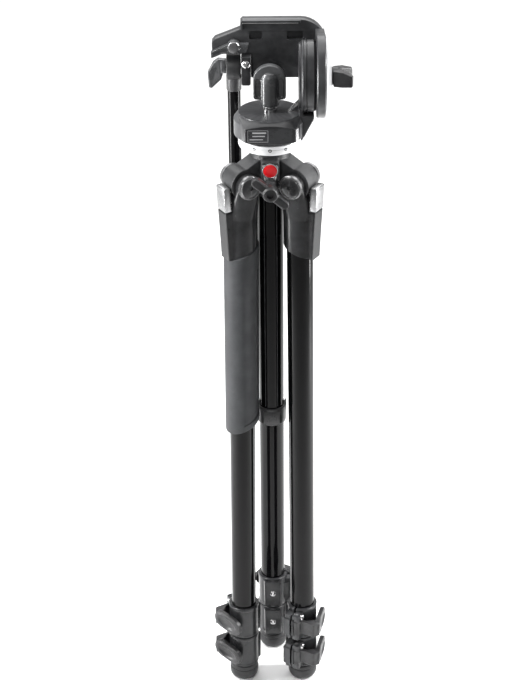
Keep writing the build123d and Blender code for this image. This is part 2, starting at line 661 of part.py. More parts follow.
with BuildPart() as pan_housing:
    with BuildSketch(Plane.XY.offset(HOUSING_FOOT)):
        Circle(HOUSING_R)
        with BuildLine():
            Polyline(
                (-HOUSING_R + 4, -HOUSING_R / 3),
                (-LABEL_WIDTH / 2 - 3, -PANEL_FRONT),
                (LABEL_WIDTH / 2 + 4, -PANEL_FRONT),
                (HOUSING_R - 4, -HOUSING_R / 3),
                close=True,
            )
        make_face()
    extrude(amount=HOUSING_TOP - HOUSING_FOOT)
    chamfer(pan_housing.edges().group_by(Axis.Z)[-1], HOUSING_CHAMFER)
    # the arm on the right, up to the flange of the tilt drum
    with BuildSketch(Plane.XZ.offset(-ARM_HALF_WIDTH)):
        with BuildLine():
            Polyline(
                (HOUSING_R / 2, HOUSING_TOP - 14),
                (HOUSING_R - 6, HOUSING_FOOT),
                (HOUSING_R - 4, HOUSING_FOOT),
                (DRUM_OUTER - 1.5, HOUSING_TOP - 3),
                (DRUM_OUTER - 1.5, TILT_HEIGHT - DRUM_R - LOOSE),
                (FLANGE_OUTER, TILT_HEIGHT - DRUM_R - LOOSE),
                (FLANGE_OUTER, TILT_HEIGHT),
                (FLANGE_INNER, TILT_HEIGHT),
                (FLANGE_INNER, HOUSING_TOP - 2),
                (HOUSING_R / 2, HOUSING_TOP - 2),
                close=True,
            )
        make_face()
    extrude(amount=2 * ARM_HALF_WIDTH)
    with BuildSketch(Plane.YZ.offset(FLANGE_INNER)):
        with Locations((0, TILT_HEIGHT)):
            Circle(DRUM_R - 2.5)
    with BuildSketch(Plane.YZ.offset(FLANGE_OUTER)):
        with Locations((0, TILT_HEIGHT)):
            Circle(DRUM_R)
    loft()
    # the gusset between the housing's top and the arm
    with BuildSketch(Plane.XZ.offset(-GUSSET_WIDTH / 2)):
        with BuildLine():
            Polyline(
                (PAN_PADDLE_HALF_WIDTH + 0.6, HOUSING_TOP - 1),
                (FLANGE_INNER + 1, HOUSING_TOP - 1),
                (FLANGE_INNER + 1, HOUSING_TOP + 11.5),
                close=True,
            )
        make_face()
    extrude(amount=GUSSET_WIDTH)
    # the pocket of the label, the bore of the pan spigot and the thread of the pan knob
    with BuildSketch(Plane.XZ.offset(PANEL_FRONT - LABEL_THICKNESS)):
        with Locations((0, (HOUSING_FOOT + HOUSING_TOP) / 2 - 1.2)):
            RectangleRounded(LABEL_WIDTH, LABEL_HEIGHT, 1.2)
    extrude(amount=LABEL_THICKNESS, mode=Mode.SUBTRACT)
    with BuildSketch(Plane.XY.offset(HOUSING_FOOT)):
        Circle(SPIGOT_R + RUN)
    extrude(amount=SPIGOT_TOP + LOOSE - HOUSING_FOOT, mode=Mode.SUBTRACT)
    with BuildSketch(Plane.XY.offset(PAN_STUD_FOOT)):
        Circle(PAN_STUD_R + RUN)
    extrude(amount=HOUSING_TOP - PAN_STUD_FOOT, mode=Mode.SUBTRACT)
write(pan_housing, "pan_housing", COLUMN_PLACE)

with BuildPart() as label_plate:
    with BuildSketch(Plane.XZ.offset(PANEL_FRONT - LABEL_THICKNESS)):
        with Locations((0, (HOUSING_FOOT + HOUSING_TOP) / 2 - 1.2)):
            RectangleRounded(LABEL_WIDTH, LABEL_HEIGHT, 1.2)
    extrude(amount=LABEL_THICKNESS - 0.3)
write(label_plate, "label_plate", COLUMN_PLACE)

with BuildPart() as pan_knob:
    with BuildSketch(Plane.XZ):
        with BuildLine():
            Polyline(
                (0, PAN_STUD_FOOT),
                (PAN_STUD_R, PAN_STUD_FOOT),
                (PAN_STUD_R, HOUSING_TOP + SEAT),
                (PAN_KNOB_R - 2.4, HOUSING_TOP + SEAT),
                (PAN_KNOB_R - 2.4, HOUSING_TOP + 3),
                (PAN_KNOB_R - 3.4, HOUSING_TOP + 3.6),
                (PAN_KNOB_R - 3.4, HOUSING_TOP + 5),
                (PAN_KNOB_R, HOUSING_TOP + 6.5),
                (PAN_KNOB_R, PAN_PADDLE_FOOT + 20),
                (PAN_KNOB_R - 3, PAN_PADDLE_FOOT + 25),
                (0, PAN_PADDLE_FOOT + 27),
                close=True,
            )
        make_face()
    revolve(axis=Axis.Z)
    with BuildSketch(Plane.XZ.offset(-PAN_PADDLE_DEPTH / 2)):
        with Locations((0, PAN_PADDLE_FOOT + 9)):
            Rectangle(2 * PAN_PADDLE_HALF_WIDTH, 18)
        with Locations((0, PAN_PADDLE_FOOT + 18)):
            Circle(PAN_PADDLE_HALF_WIDTH)
    extrude(amount=PAN_PADDLE_DEPTH)
write(pan_knob, "pan_knob", COLUMN_PLACE)

# ---------------------------------------------------------------- tilt drum and platform
with BuildPart() as tilt_drum:
    with BuildSketch(Plane.YZ.offset(FLANGE_OUTER)):
        with Locations((0, TILT_HEIGHT)):
            Circle(DRUM_R)
    extrude(amount=DRUM_OUTER - FLANGE_OUTER)
    with BuildSketch(Plane.YZ.offset(DRUM_OUTER)):
        with Locations((0, TILT_HEIGHT)):
            Circle(TILT_AXLE_R)
    extrude(amount=CHEEK_OUT - DRUM_OUTER)
write(tilt_drum, "tilt_drum", COLUMN_PLACE)

with BuildPart() as platform:
    # the plate, with one big rounded corner, a lug for the release lever and a step for the bar
    with BuildSketch(Plane.XZ.offset(-PLATE_BACK)):
        with BuildLine():
            Polyline(
                (PLATE_RIGHT - PLATE_CORNER_R, PLATE_TOP),
                (PLATE_LEFT + 2, PLATE_TOP),
                (PLATE_LEFT, PLATE_TOP - 2),
                (PLATE_LEFT, PLATE_TOP - 9),
                (PLATE_LEFT - 14, PLATE_TOP - 14.5),
                (LUG_LEFT + 3, PLATE_TOP - 18.5),
                (LUG_LEFT, PLATE_TOP - 22),
                (LUG_LEFT, LUG_FOOT),
                (BAR_SOCKET_RIGHT, LUG_FOOT),
                (BAR_SOCKET_RIGHT, PLATE_FOOT),
                (PLATE_RIGHT, PLATE_FOOT),
                (PLATE_RIGHT, PLATE_TOP - PLATE_CORNER_R),
            )
            RadiusArc(
                (PLATE_RIGHT, PLATE_TOP - PLATE_CORNER_R),
                (PLATE_RIGHT - PLATE_CORNER_R, PLATE_TOP),
                -PLATE_CORNER_R,
            )
        make_face()
    extrude(amount=PLATE_BACK - PLATE_FRONT)
    # the cheek at the tilt drum
    with BuildSketch(Plane.YZ.offset(CHEEK_IN)):
        with Locations((0, TILT_HEIGHT)):
            Circle(CHEEK_DISC_R)
        with BuildLine():
            Polyline(
                (0, TILT_HEIGHT + CHEEK_DISC_R),
                (PLATE_FRONT + 1, PLATE_TOP - 9),
                (PLATE_FRONT + 1, PLATE_FOOT - 4),
                (18, TILT_HEIGHT - 32),
                (0, TILT_HEIGHT),
                close=True,
            )
        make_face()
    extrude(amount=CHEEK_OUT - CHEEK_IN)
    # the rim round the underside
    with BuildSketch(Plane.XZ.offset(-PLATE_FRONT)):
        with BuildLine():
            Polyline(
                (PLATE_RIGHT - PLATE_CORNER_R, PLATE_TOP),
                (PLATE_LEFT + 2, PLATE_TOP),
                (PLATE_LEFT, PLATE_TOP - 2),
                (PLATE_LEFT, PLATE_TOP - 9),
                (PLATE_LEFT + RIM, PLATE_TOP - 9),
                (PLATE_LEFT + RIM, PLATE_TOP - RIM),
                (PLATE_RIGHT - PLATE_CORNER_R, PLATE_TOP - RIM),
                close=True,
            )
        make_face()
    extrude(amount=RIM)
    # two hollows in the underside
    for left, right in ((-19.0, -6.8), (16.8, 32.0)):
        with BuildSketch(Plane.XZ.offset(-PLATE_FRONT)):
            with Locations(((left + right) / 2, PLATE_TOP - 15.0)):
                RectangleRounded(right - left, 8.0, 1.0)
        extrude(amount=-4.0, mode=Mode.SUBTRACT)
    # the seat of the camera plate and the hole over its screw
    with BuildSketch(Plane.XZ.offset(-PLATE_BACK)):
        with Locations((CAMERA_PLATE_X, CAMERA_PLATE_Z)):
            RectangleRounded(
                CAMERA_PLATE_WIDTH + 2 * SEAT, CAMERA_PLATE_LENGTH + 2 * SEAT, 2 + SEAT
            )
    extrude(amount=PLATE_BACK - CAMERA_PLATE_FLOOR, mode=Mode.SUBTRACT)
    # the hole of the tilt axle and of the release lever's pivot
    with BuildSketch(Plane.YZ.offset(CHEEK_IN)):
        with Locations((0, TILT_HEIGHT)):
            Circle(TILT_AXLE_R + RUN)
    extrude(amount=CHEEK_OUT - CHEEK_IN, mode=Mode.SUBTRACT)
    with BuildSketch(Plane.XZ.offset(-PLATE_FRONT)):
        with Locations((QR_PIVOT_X, QR_PIVOT_Z)):
            Circle(QR_PIVOT_R)
    extrude(amount=-6, mode=Mode.SUBTRACT)
write(platform, "platform", COLUMN_PLACE)

with BuildPart() as tilt_cap:
    with BuildSketch(Plane.XZ):
        with BuildLine():
            Polyline(
                (CHEEK_OUT, TILT_HEIGHT),
                (CHEEK_OUT, TILT_HEIGHT + CAP_R),
                (CHEEK_OUT + 1, TILT_HEIGHT + CAP_R),
                (CAP_OUT, TILT_HEIGHT + 10),
                (CAP_OUT, TILT_HEIGHT),
                close=True,
            )
        make_face()
    revolve(axis=Axis((0, 0, TILT_HEIGHT), (1, 0, 0)))
    with BuildSketch(Plane.YZ.offset(CHEEK_OUT)):
        with Locations((0, TILT_HEIGHT)):
            Circle(TILT_STUD_R + RUN)
    extrude(amount=CAP_OUT - CHEEK_OUT, mode=Mode.SUBTRACT)
write(tilt_cap, "tilt_cap", COLUMN_PLACE)

with BuildPart() as tilt_knob:
    with BuildSketch(Plane.YZ.offset(CHEEK_OUT + SEAT)):
        with Locations((0, TILT_HEIGHT)):
            Circle(TILT_STUD_R)
    extrude(amount=CAP_OUT - CHEEK_OUT)
    with BuildSketch(Plane.YZ.offset(CAP_OUT + SEAT)):
        with Locations((0, TILT_HEIGHT)):
            Circle(8.5)
    extrude(amount=7)
    for side in (-1, 1):
        with BuildSketch(Plane.XY.offset(TILT_HEIGHT - 8.5)):
            with BuildLine():
                Polyline(
                    (CAP_OUT + 1.5, side * 3),
                    (CAP_OUT + 8, side * 0.5),
                    (TILT_KNOB_TIP, side * 10),
                    (TILT_KNOB_TIP - 1.5, side * 14.5),
                    (CAP_OUT + 1.5, side * 8.2),
                    close=True,
                )
            make_face()
        extrude(amount=17)
    with BuildSketch(Plane.XZ.offset(-20)):
        with BuildLine():
            Polyline(
                (CAP_OUT, TILT_HEIGHT - 9),
                (CAP_OUT, TILT_HEIGHT + 9),
                (CAP_OUT + 8, TILT_HEIGHT + 8.8),
                (TILT_KNOB_TIP, TILT_HEIGHT + 6),
                (TILT_KNOB_TIP, TILT_HEIGHT - 7),
                (CAP_OUT + 8, TILT_HEIGHT - 8.8),
                close=True,
            )
        make_face()
        with Locations((CAP_OUT / 2, TILT_HEIGHT)):
            Rectangle(CAP_OUT, 20)
    extrude(amount=40, mode=Mode.INTERSECT)
write(tilt_knob, "tilt_knob", COLUMN_PLACE)

# ---------------------------------------------------------------- camera plate and its lever
with BuildPart() as camera_plate:
    with BuildSketch(Plane.XZ.offset(-CAMERA_PLATE_BACK)):
        with Locations((CAMERA_PLATE_X, CAMERA_PLATE_Z)):
            RectangleRounded(CAMERA_PLATE_WIDTH, CAMERA_PLATE_LENGTH, 2)
    extrude(amount=CAMERA_PLATE_BACK - CAMERA_PLATE_FLOOR - SEAT)
    with BuildSketch(Plane.XZ.offset(-CAMERA_PLATE_FLOOR)):
        with Locations((CAMERA_PLATE_X, CAMERA_PLATE_Z)):
            Circle(CAMERA_SCREW_HEAD_R + SEAT)
    extrude(amount=-(CAMERA_SCREW_HEAD_DEPTH + 2 * SEAT), mode=Mode.SUBTRACT)
    with BuildSketch(Plane.XZ.offset(-CAMERA_PLATE_FLOOR)):
        with Locations((CAMERA_PLATE_X, CAMERA_PLATE_Z)):
            Circle(CAMERA_SCREW_R + RUN)
    extrude(amount=CAMERA_PLATE_FLOOR - CAMERA_PLATE_BACK, mode=Mode.SUBTRACT)
write(camera_plate, "camera_plate", COLUMN_PLACE)

with BuildPart() as camera_screw:
    with BuildSketch(Plane.XZ.offset(-CAMERA_PLATE_FLOOR - SEAT)):
        with Locations((CAMERA_PLATE_X, CAMERA_PLATE_Z)):
            Circle(CAMERA_SCREW_HEAD_R)
    extrude(amount=-CAMERA_SCREW_HEAD_DEPTH)
    neck_foot = CAMERA_PLATE_FLOOR + CAMERA_SCREW_HEAD_DEPTH
    with BuildSketch(Plane.XZ.offset(-neck_foot)):
        with Locations((CAMERA_PLATE_X, CAMERA_PLATE_Z)):
            Circle(CAMERA_SCREW_NECK_R)
    extrude(amount=-(CAMERA_PLATE_BACK + SEAT - neck_foot))
    with BuildSketch(Plane.XZ.offset(-CAMERA_PLATE_BACK - SEAT)):
        with Locations((CAMERA_PLATE_X, CAMERA_PLATE_Z)):
            Circle(CAMERA_SCREW_R)
    extrude(amount=-(CAMERA_SCREW_OUT - SEAT))
write(camera_screw, "camera_screw", COLUMN_PLACE)

with BuildPart() as lever_pivot:
    with BuildSketch(Plane.XZ.offset(-PLATE_FRONT - 6)):
        with Locations((QR_PIVOT_X, QR_PIVOT_Z)):
            Circle(QR_PIVOT_R)
    extrude(amount=6 + 2 * SEAT + QR_THICKNESS)
    with BuildSketch(Plane.XZ.offset(-PLATE_FRONT + 2 * SEAT + QR_THICKNESS)):
        with Locations((QR_PIVOT_X, QR_PIVOT_Z)):
            Circle(5.8)
    extrude(amount=2.4)
    fillet(lever_pivot.edges().filter_by(GeomType.CIRCLE).sort_by(Axis.Y)[0], 1.6)
write(lever_pivot, "lever_pivot", COLUMN_PLACE)

with BuildPart() as release_lever:
    with BuildSketch(Plane.XZ.offset(-PLATE_FRONT + SEAT)):
        with Locations((QR_PIVOT_X, QR_PIVOT_Z)):
            Circle(6.4)
        with BuildLine():
            top_edge = Spline(
                (-19.5, QR_PIVOT_Z + 2.5),
                (QR_PIVOT_X, QR_PIVOT_Z + 3.2),
                (-46.5, QR_PIVOT_Z - 0.8),
                (-55.5, QR_PIVOT_Z - 5.5),
            )
            low_edge = Spline(
                (-55.0, QR_PIVOT_Z - 11.0),
                (-45.5, QR_PIVOT_Z - 7.0),
                (QR_PIVOT_X, QR_PIVOT_Z - 5.6),
                (-22.0, QR_PIVOT_Z - 5.6),
            )
            Line(top_edge @ 1, low_edge @ 0)
            Line(low_edge @ 1, top_edge @ 0)
        make_face()
        with Locations((QR_PIVOT_X, QR_PIVOT_Z)):
            Circle(QR_PIVOT_R + RUN, mode=Mode.SUBTRACT)
    extrude(amount=QR_THICKNESS)
write(release_lever, "release_lever", COLUMN_PLACE)

# ---------------------------------------------------------------- pan bar
with BuildPart() as bar_socket:
    with BuildSketch(Plane.XY.offset(BAR_SOCKET_FOOT)):
        with Locations(((BAR_SOCKET_LEFT + BAR_SOCKET_RIGHT - SEAT / 2) / 2, (BAR_SOCKET_FRONT
                                                                          + BAR_Y + BAR_EYE_R) / 2)):
            Rectangle(BAR_SOCKET_RIGHT - SEAT / 2 - BAR_SOCKET_LEFT, BAR_Y + BAR_EYE_R - BAR_SOCKET_FRONT)
    extrude(amount=LUG_FOOT - SEAT - BAR_SOCKET_FOOT)
    fillet(bar_socket.edges().filter_by(Axis.X), 2)
    with BuildSketch(Plane.YZ.offset(BAR_SOCKET_LEFT)):
        with Locations((BAR_Y, BAR_HINGE_HEIGHT)):
            Circle(BAR_STUD_R + RUN)
    extrude(amount=10, mode=Mode.SUBTRACT)
write(bar_socket, "bar_socket", COLUMN_PLACE)

with BuildPart() as pan_bar:
    with BuildSketch(Plane.YZ.offset(BAR_X - BAR_EYE_WIDTH / 2)):
        with Locations((BAR_Y, BAR_HINGE_HEIGHT)):
            Circle(BAR_EYE_R)
    extrude(amount=BAR_EYE_WIDTH)
    with BuildSketch(Plane.XY.offset(BAR_FOOT)):
        with Locations((BAR_X, BAR_Y)):
            Circle(BAR_D / 2)
    extrude(amount=BAR_HINGE_HEIGHT - BAR_FOOT)
    with BuildSketch(Plane.YZ.offset(BAR_X - BAR_EYE_WIDTH / 2)):
        with Locations((BAR_Y, BAR_HINGE_HEIGHT)):
            Circle(BAR_STUD_R + RUN)
    extrude(amount=BAR_EYE_WIDTH, mode=Mode.SUBTRACT)
write(pan_bar, "pan_bar", COLUMN_PLACE)

with BuildPart() as bar_grip:
    with BuildSketch(Plane.XY.offset(BAR_GRIP_FOOT)):
        with Locations((BAR_X, BAR_Y)):
            Circle(BAR_GRIP_D / 2)
    extrude(amount=BAR_GRIP_TOP - BAR_GRIP_FOOT)
    fillet(bar_grip.edges().filter_by(GeomType.CIRCLE), 3)
    with BuildSketch(Plane.XY.offset(BAR_FOOT)):
        with Locations((BAR_X, BAR_Y)):
            Circle(BAR_D / 2)
    extrude(amount=BAR_GRIP_TOP - BAR_FOOT, mode=Mode.SUBTRACT)
write(bar_grip, "bar_grip", COLUMN_PLACE)

with BuildPart() as bar_knob:
    with BuildSketch(Plane.YZ.offset(BAR_X - BAR_EYE_WIDTH / 2 - SEAT)):
        with Locations((BAR_Y, BAR_HINGE_HEIGHT)):
            Circle(7.5)
    extrude(amount=-5)
    # the thumb wing, a leaf that hangs from the hub
    with BuildSketch(Plane.XZ.offset(-BAR_Y - 4)):
        with BuildLine():
            Polyline(
                (BAR_X - BAR_EYE_WIDTH / 2 - 2.5, BAR_HINGE_HEIGHT + 7.0),
                (BAR_X - BAR_EYE_WIDTH / 2 - 8, BAR_HINGE_HEIGHT + 7.5),
                (-54, BAR_HINGE_HEIGHT + 4),
                (-59.5, BAR_HINGE_HEIGHT - 6),
                (-58.5, BAR_HINGE_HEIGHT - 21),
                (-55.5, BAR_HINGE_HEIGHT - 21.5),
                (-46.5, BAR_HINGE_HEIGHT - 13),
                (BAR_X - BAR_EYE_WIDTH / 2 - 2.5, BAR_HINGE_HEIGHT - 5),
                close=True,
            )
        make_face()
    extrude(amount=8)
    with BuildSketch(Plane.YZ.offset(BAR_X - BAR_EYE_WIDTH / 2 - SEAT)):
        with Locations((BAR_Y, BAR_HINGE_HEIGHT)):
            Circle(BAR_STUD_R)
    extrude(amount=BAR_EYE_WIDTH + 8)
write(bar_knob, "bar_knob", COLUMN_PLACE)
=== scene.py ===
"""A folded three-section tripod with a pan and tilt head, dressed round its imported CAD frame."""

import json
import logging
import math
from dataclasses import dataclass, field
from enum import Enum
from typing import Iterable, Sequence

import bmesh
import bpy
from mathutils import Matrix, Vector


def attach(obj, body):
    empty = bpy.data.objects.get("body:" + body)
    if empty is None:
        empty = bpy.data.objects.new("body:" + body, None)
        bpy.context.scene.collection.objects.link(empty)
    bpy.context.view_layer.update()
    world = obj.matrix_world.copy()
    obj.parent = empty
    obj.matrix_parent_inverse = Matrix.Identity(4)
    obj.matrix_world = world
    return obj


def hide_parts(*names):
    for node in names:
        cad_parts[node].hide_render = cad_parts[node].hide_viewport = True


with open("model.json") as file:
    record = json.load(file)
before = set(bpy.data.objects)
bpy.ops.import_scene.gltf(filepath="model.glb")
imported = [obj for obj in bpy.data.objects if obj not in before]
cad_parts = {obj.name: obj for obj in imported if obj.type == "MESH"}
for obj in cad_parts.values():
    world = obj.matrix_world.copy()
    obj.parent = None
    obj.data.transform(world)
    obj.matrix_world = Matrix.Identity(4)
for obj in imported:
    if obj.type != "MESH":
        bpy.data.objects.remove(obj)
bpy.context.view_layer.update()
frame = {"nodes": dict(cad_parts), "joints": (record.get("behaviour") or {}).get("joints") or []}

LOG = logging.getLogger("tripod")
MM = 0.001
ROUND = 2 * math.pi
JOINTS = {joint["name"]: joint for joint in frame["joints"]}

Point = tuple[float, float]
Corner = tuple[float, ...]
Colour = tuple[float, float, float]


class Facing(Enum):
    """Which way an outline's extrusion runs, and with it the plane that the outline lies in."""

    UP = Matrix(((1, 0, 0, 0), (0, 1, 0, 0), (0, 0, 1, 0), (0, 0, 0, 1)))
    BACK = Matrix(((1, 0, 0, 0), (0, 0, 1, 0), (0, 1, 0, 0), (0, 0, 0, 1)))
    RIGHT = Matrix(((0, 0, 1, 0), (1, 0, 0, 0), (0, 1, 0, 0), (0, 0, 0, 1)))


def turned(degrees: float, axis: str = "Z") -> Matrix:
    """A turn about one axis, in degrees."""
    return Matrix.Rotation(math.radians(degrees), 4, axis)


def moved(x: float = 0.0, y: float = 0.0, z: float = 0.0) -> Matrix:
    """A shift, in the millimetres of a solid."""
    return Matrix.Translation((x, y, z))


# ---------------------------------------------------------------- solids
class Solid:
    """A closed mesh in millimetres, in the frame of the assembly that it belongs to."""

    def __init__(self) -> None:
        """Starts with nothing in it."""
        self.bm = bmesh.new()

    def _raise(self, height: float) -> "Solid":
        """Extrudes the flat faces upwards."""
        rise = bmesh.ops.extrude_face_region(self.bm, geom=self.bm.faces[:])
        top = [v for v in rise["geom"] if isinstance(v, bmesh.types.BMVert)]
        bmesh.ops.translate(self.bm, verts=top, vec=(0, 0, height))
        return self

    @classmethod
    def prism(cls, corners: Sequence[Corner], low: float, high: float,
              facing: Facing = Facing.UP) -> "Solid":
        """Extrudes an outline between two planes.

        Args:
            corners: x, y and, for a rounded corner, its radius.
            low: Where the extrusion starts along the facing.
            high: Where it ends.
            facing: The direction that it runs in.

        Returns:
            The extruded solid.
        """
        solid = cls()
        verts = [solid.bm.verts.new((c[0], c[1], low)) for c in corners]
        solid.bm.faces.new(verts)
        for i, corner in enumerate(corners):
            if len(corner) > 2 and corner[2] > 0:
                here = Vector(corner[:2])
                before = (Vector(corners[i - 1][:2]) - here).normalized()
                after = (Vector(corners[(i + 1) % len(corners)][:2]) - here).normalized()
                angle = before.angle(after)
                bmesh.ops.bevel(
                    solid.bm, geom=[verts[i]], offset=corner[2] / math.tan(angle / 2),
                    offset_type="OFFSET", segments=8, profile=0.5, affect="VERTICES",
                    clamp_overlap=True, material=-1,
                )
        return solid._raise(high - low).place(facing.value)

    @classmethod
    def block(cls, first: Point, last: Point, low: float, high: float,
              facing: Facing = Facing.UP, radius: float = 0.0) -> "Solid":
        """Extrudes a rectangle between two planes.

        Args:
            first: Its lower left corner.
            last: Its upper right corner.
            low: Where the extrusion starts along the facing.
            high: Where it ends.
            facing: The direction that it runs in.
            radius: The radius of its corners.

        Returns:
            The extruded solid.
        """
        (left, foot), (right, top) = first, last
        return cls.prism([(x, y, radius) for x, y in ((left, foot), (right, foot), (right, top),
                                                      (left, top))], low, high, facing)

    @classmethod
    def disc(cls, middle: Point, radius: float, low: float, high: float,
             facing: Facing = Facing.UP, sides: int = 72) -> "Solid":
        """Extrudes a circle between two planes.

        Args:
            middle: The circle's centre in its plane.
            radius: The circle's radius.
            low: Where the extrusion starts along the facing.
            high: Where it ends.
            facing: The direction that it runs in.
            sides: How many sides stand for the circle.

        Returns:
            The extruded solid.
        """
        solid = cls()
        place = moved(middle[0], middle[1], low)
        bmesh.ops.create_circle(solid.bm, cap_ends=True, segments=sides, radius=radius,
            matrix=place)
        return solid._raise(high - low).place(facing.value)

    @classmethod
    def slot(cls, middle: Point, length: float, width: float, low: float, high: float,
             facing: Facing = Facing.UP, tilt: float = 0.0) -> "Solid":
        """Extrudes a long oval between two planes.

        Args:
            middle: The oval's centre in its plane.
            length: Its overall length.
            width: Its width, and the diameter of its ends.
            low: Where the extrusion starts along the facing.
            high: Where it ends.
            facing: The direction that it runs in.
            tilt: How far its length is turned in its plane, in degrees.

        Returns:
            The extruded solid.
        """
        r, half = width / 2 - 0.01, length / 2
        corners = [(-half, -r - 0.01, r), (half, -r - 0.01, r), (half, r + 0.01, r),
            (-half, r + 0.01, r)]
        solid = cls.prism(corners, low, high)
        solid.place(moved(middle[0], middle[1]) @ turned(tilt))
        return solid.place(facing.value)

    @classmethod
    def turning(cls, profile: Sequence[Point], facing: Facing = Facing.UP,
                middle: Point = (0.0, 0.0), steps: int = 96) -> "Solid":
        """Spins a profile of radius and height round an axis.

        Args:
            profile: Radius and height of each point; it starts and ends on the axis, or closes.
            facing: The direction that the axis runs in.
            middle: Where the axis passes, in the plane across it.
            steps: How many steps make the full turn.

        Returns:
            The turned solid.
        """
        solid = cls()
        verts = [solid.bm.verts.new((r, 0, h)) for r, h in profile]
        edges = [solid.bm.edges.new(pair) for pair in zip(verts, verts[1:])]
        if profile[0][0] > 0:
            edges.append(solid.bm.edges.new((verts[-1], verts[0])))
        bmesh.ops.spin(
            solid.bm, geom=verts + edges, cent=(0, 0, 0), axis=(0, 0, 1), angle=ROUND,
            steps=steps, use_merge=True, use_duplicate=False,
        )
        bmesh.ops.remove_doubles(solid.bm, verts=solid.bm.verts[:], dist=1e-4)
        solid.place(moved(middle[0], middle[1]))
        return solid.place(facing.value)

    def place(self, matrix: Matrix) -> "Solid":
        """Moves the solid and turns its faces outwards again."""
        bmesh.ops.transform(self.bm, matrix=matrix, verts=self.bm.verts[:])
        bmesh.ops.recalc_face_normals(self.bm, faces=self.bm.faces[:])
        return self

    def bevel(self, width: float, segments: int = 2, over: float = 30.0) -> "Solid":
        """Rounds the edges that are sharper than an angle.

        Args:
            width: The width of the rounding.
            segments: How many faces make it.
            over: The angle in degrees above which an edge is rounded.

        Returns:
            The same solid.
        """
        limit = math.radians(over)
        edges = [e for e in self.bm.edges if len(e.link_faces) == 2
                 and e.calc_face_angle(0.0) > limit]
        bmesh.ops.bevel(
            self.bm, geom=edges, offset=width, offset_type="OFFSET", segments=segments,
            profile=0.5, affect="EDGES", clamp_overlap=True, material=-1,
        )
        return self

    def join(self, *others: "Solid") -> "Solid":
        """Takes the shells of other solids in beside its own."""
        for other in others:
            mesh = bpy.data.meshes.new("joining")
            other.bm.to_mesh(mesh)
            self.bm.from_mesh(mesh)
            bpy.data.meshes.remove(mesh)
        return self

    def copy(self) -> "Solid":
        """A second solid of the same shape."""
        return Solid().join(self)

    def mesh(self, name: str) -> bpy.types.Mesh:
        """The solid's mesh, still in millimetres."""
        mesh = bpy.data.meshes.new(name)
        self.bm.to_mesh(mesh)
        return mesh

    @classmethod
    def worked(cls, mesh: bpy.types.Mesh, tools: Sequence[tuple[str, dict]]) -> "Solid":
        """Runs modifiers over a mesh and keeps what they make.

        Args:
            mesh: The mesh to work on, which is used up.
            tools: Each modifier's type and settings.

        Returns:
            The worked solid.
        """
        holder = bpy.data.objects.new("work", mesh)
        bpy.context.scene.collection.objects.link(holder)
        for kind, settings in tools:
            tool = holder.modifiers.new(kind.lower(), kind)
            for key, value in settings.items():
                setattr(tool, key, value)
        graph = bpy.context.evaluated_depsgraph_get()
        made = bpy.data.meshes.new_from_object(holder.evaluated_get(graph))
        solid = cls()
        solid.bm.from_mesh(made)
        bpy.data.objects.remove(holder)
        bpy.data.meshes.remove(made)
        bpy.data.meshes.remove(mesh)
        return solid

    def cut(self, *tools: "Solid") -> "Solid":
        """Takes the tools' shapes away from the solid."""
        for tool in tools:
            blade = bpy.data.objects.new("blade", tool.mesh("blade"))
            bpy.context.scene.collection.objects.link(blade)
            result = Solid.worked(
                self.mesh("cut"),
                [("BOOLEAN", {"operation": "DIFFERENCE", "object": blade, "solver": "EXACT"})],
            )
            blade_mesh = blade.data
            bpy.data.objects.remove(blade)
            bpy.data.meshes.remove(blade_mesh)
            self.bm.free()
            self.bm = result.bm
        return self

    def cast(self, grain: float, passes: int) -> "Solid":
        """Melts the shells into one skin with softened edges, as a die casting has.

        Args:
            grain: The size of the cells that the skin is rebuilt from.
            passes: How many times the skin is smoothed.

        Returns:
            The same solid.
        """
        result = Solid.worked(self.mesh("cast"), [
            ("REMESH", {"mode": "VOXEL", "voxel_size": grain, "use_smooth_shade": True}),
            ("SMOOTH", {"factor": 0.5, "iterations": passes}),
        ])
        self.bm.free()
        self.bm = result.bm
        return self

    @classmethod
    def hull(cls, *solids: "Solid") -> "Solid":
        """The tightest skin round some solids."""
        solid = cls().join(*solids)
        made = bmesh.ops.convex_hull(solid.bm, input=solid.bm.verts[:])
        inside = {v for v in made["geom_interior"] + made["geom_unused"]
                  if isinstance(v, bmesh.types.BMVert)}
        bmesh.ops.delete(solid.bm, geom=list(inside), context="VERTS")
        loose = [f for f in solid.bm.faces if f not in set(made["geom"])]
        bmesh.ops.delete(solid.bm, geom=loose, context="FACES")
        flat = math.radians(0.5)
        bmesh.ops.dissolve_limit(solid.bm, angle_limit=flat, verts=solid.bm.verts[:],
                                 edges=solid.bm.edges[:])
        return solid.place(Matrix.Identity(4))

    def trim(self, point: Vector, outwards: Vector) -> "Solid":
        """Cuts the solid off along a plane, drops what is outwards of it and closes the cut."""
        geometry = self.bm.verts[:] + self.bm.edges[:] + self.bm.faces[:]
        made = bmesh.ops.bisect_plane(self.bm, geom=geometry, dist=1e-4, plane_co=point,
                                      plane_no=outwards, clear_outer=True)
        edges = [e for e in made["geom_cut"] if isinstance(e, bmesh.types.BMEdge)]
        rings = [e for e in edges if e.is_valid and len(e.link_faces) == 1]
        bmesh.ops.triangle_fill(self.bm, use_beauty=True, edges=rings, normal=outwards)
        return self.place(Matrix.Identity(4))


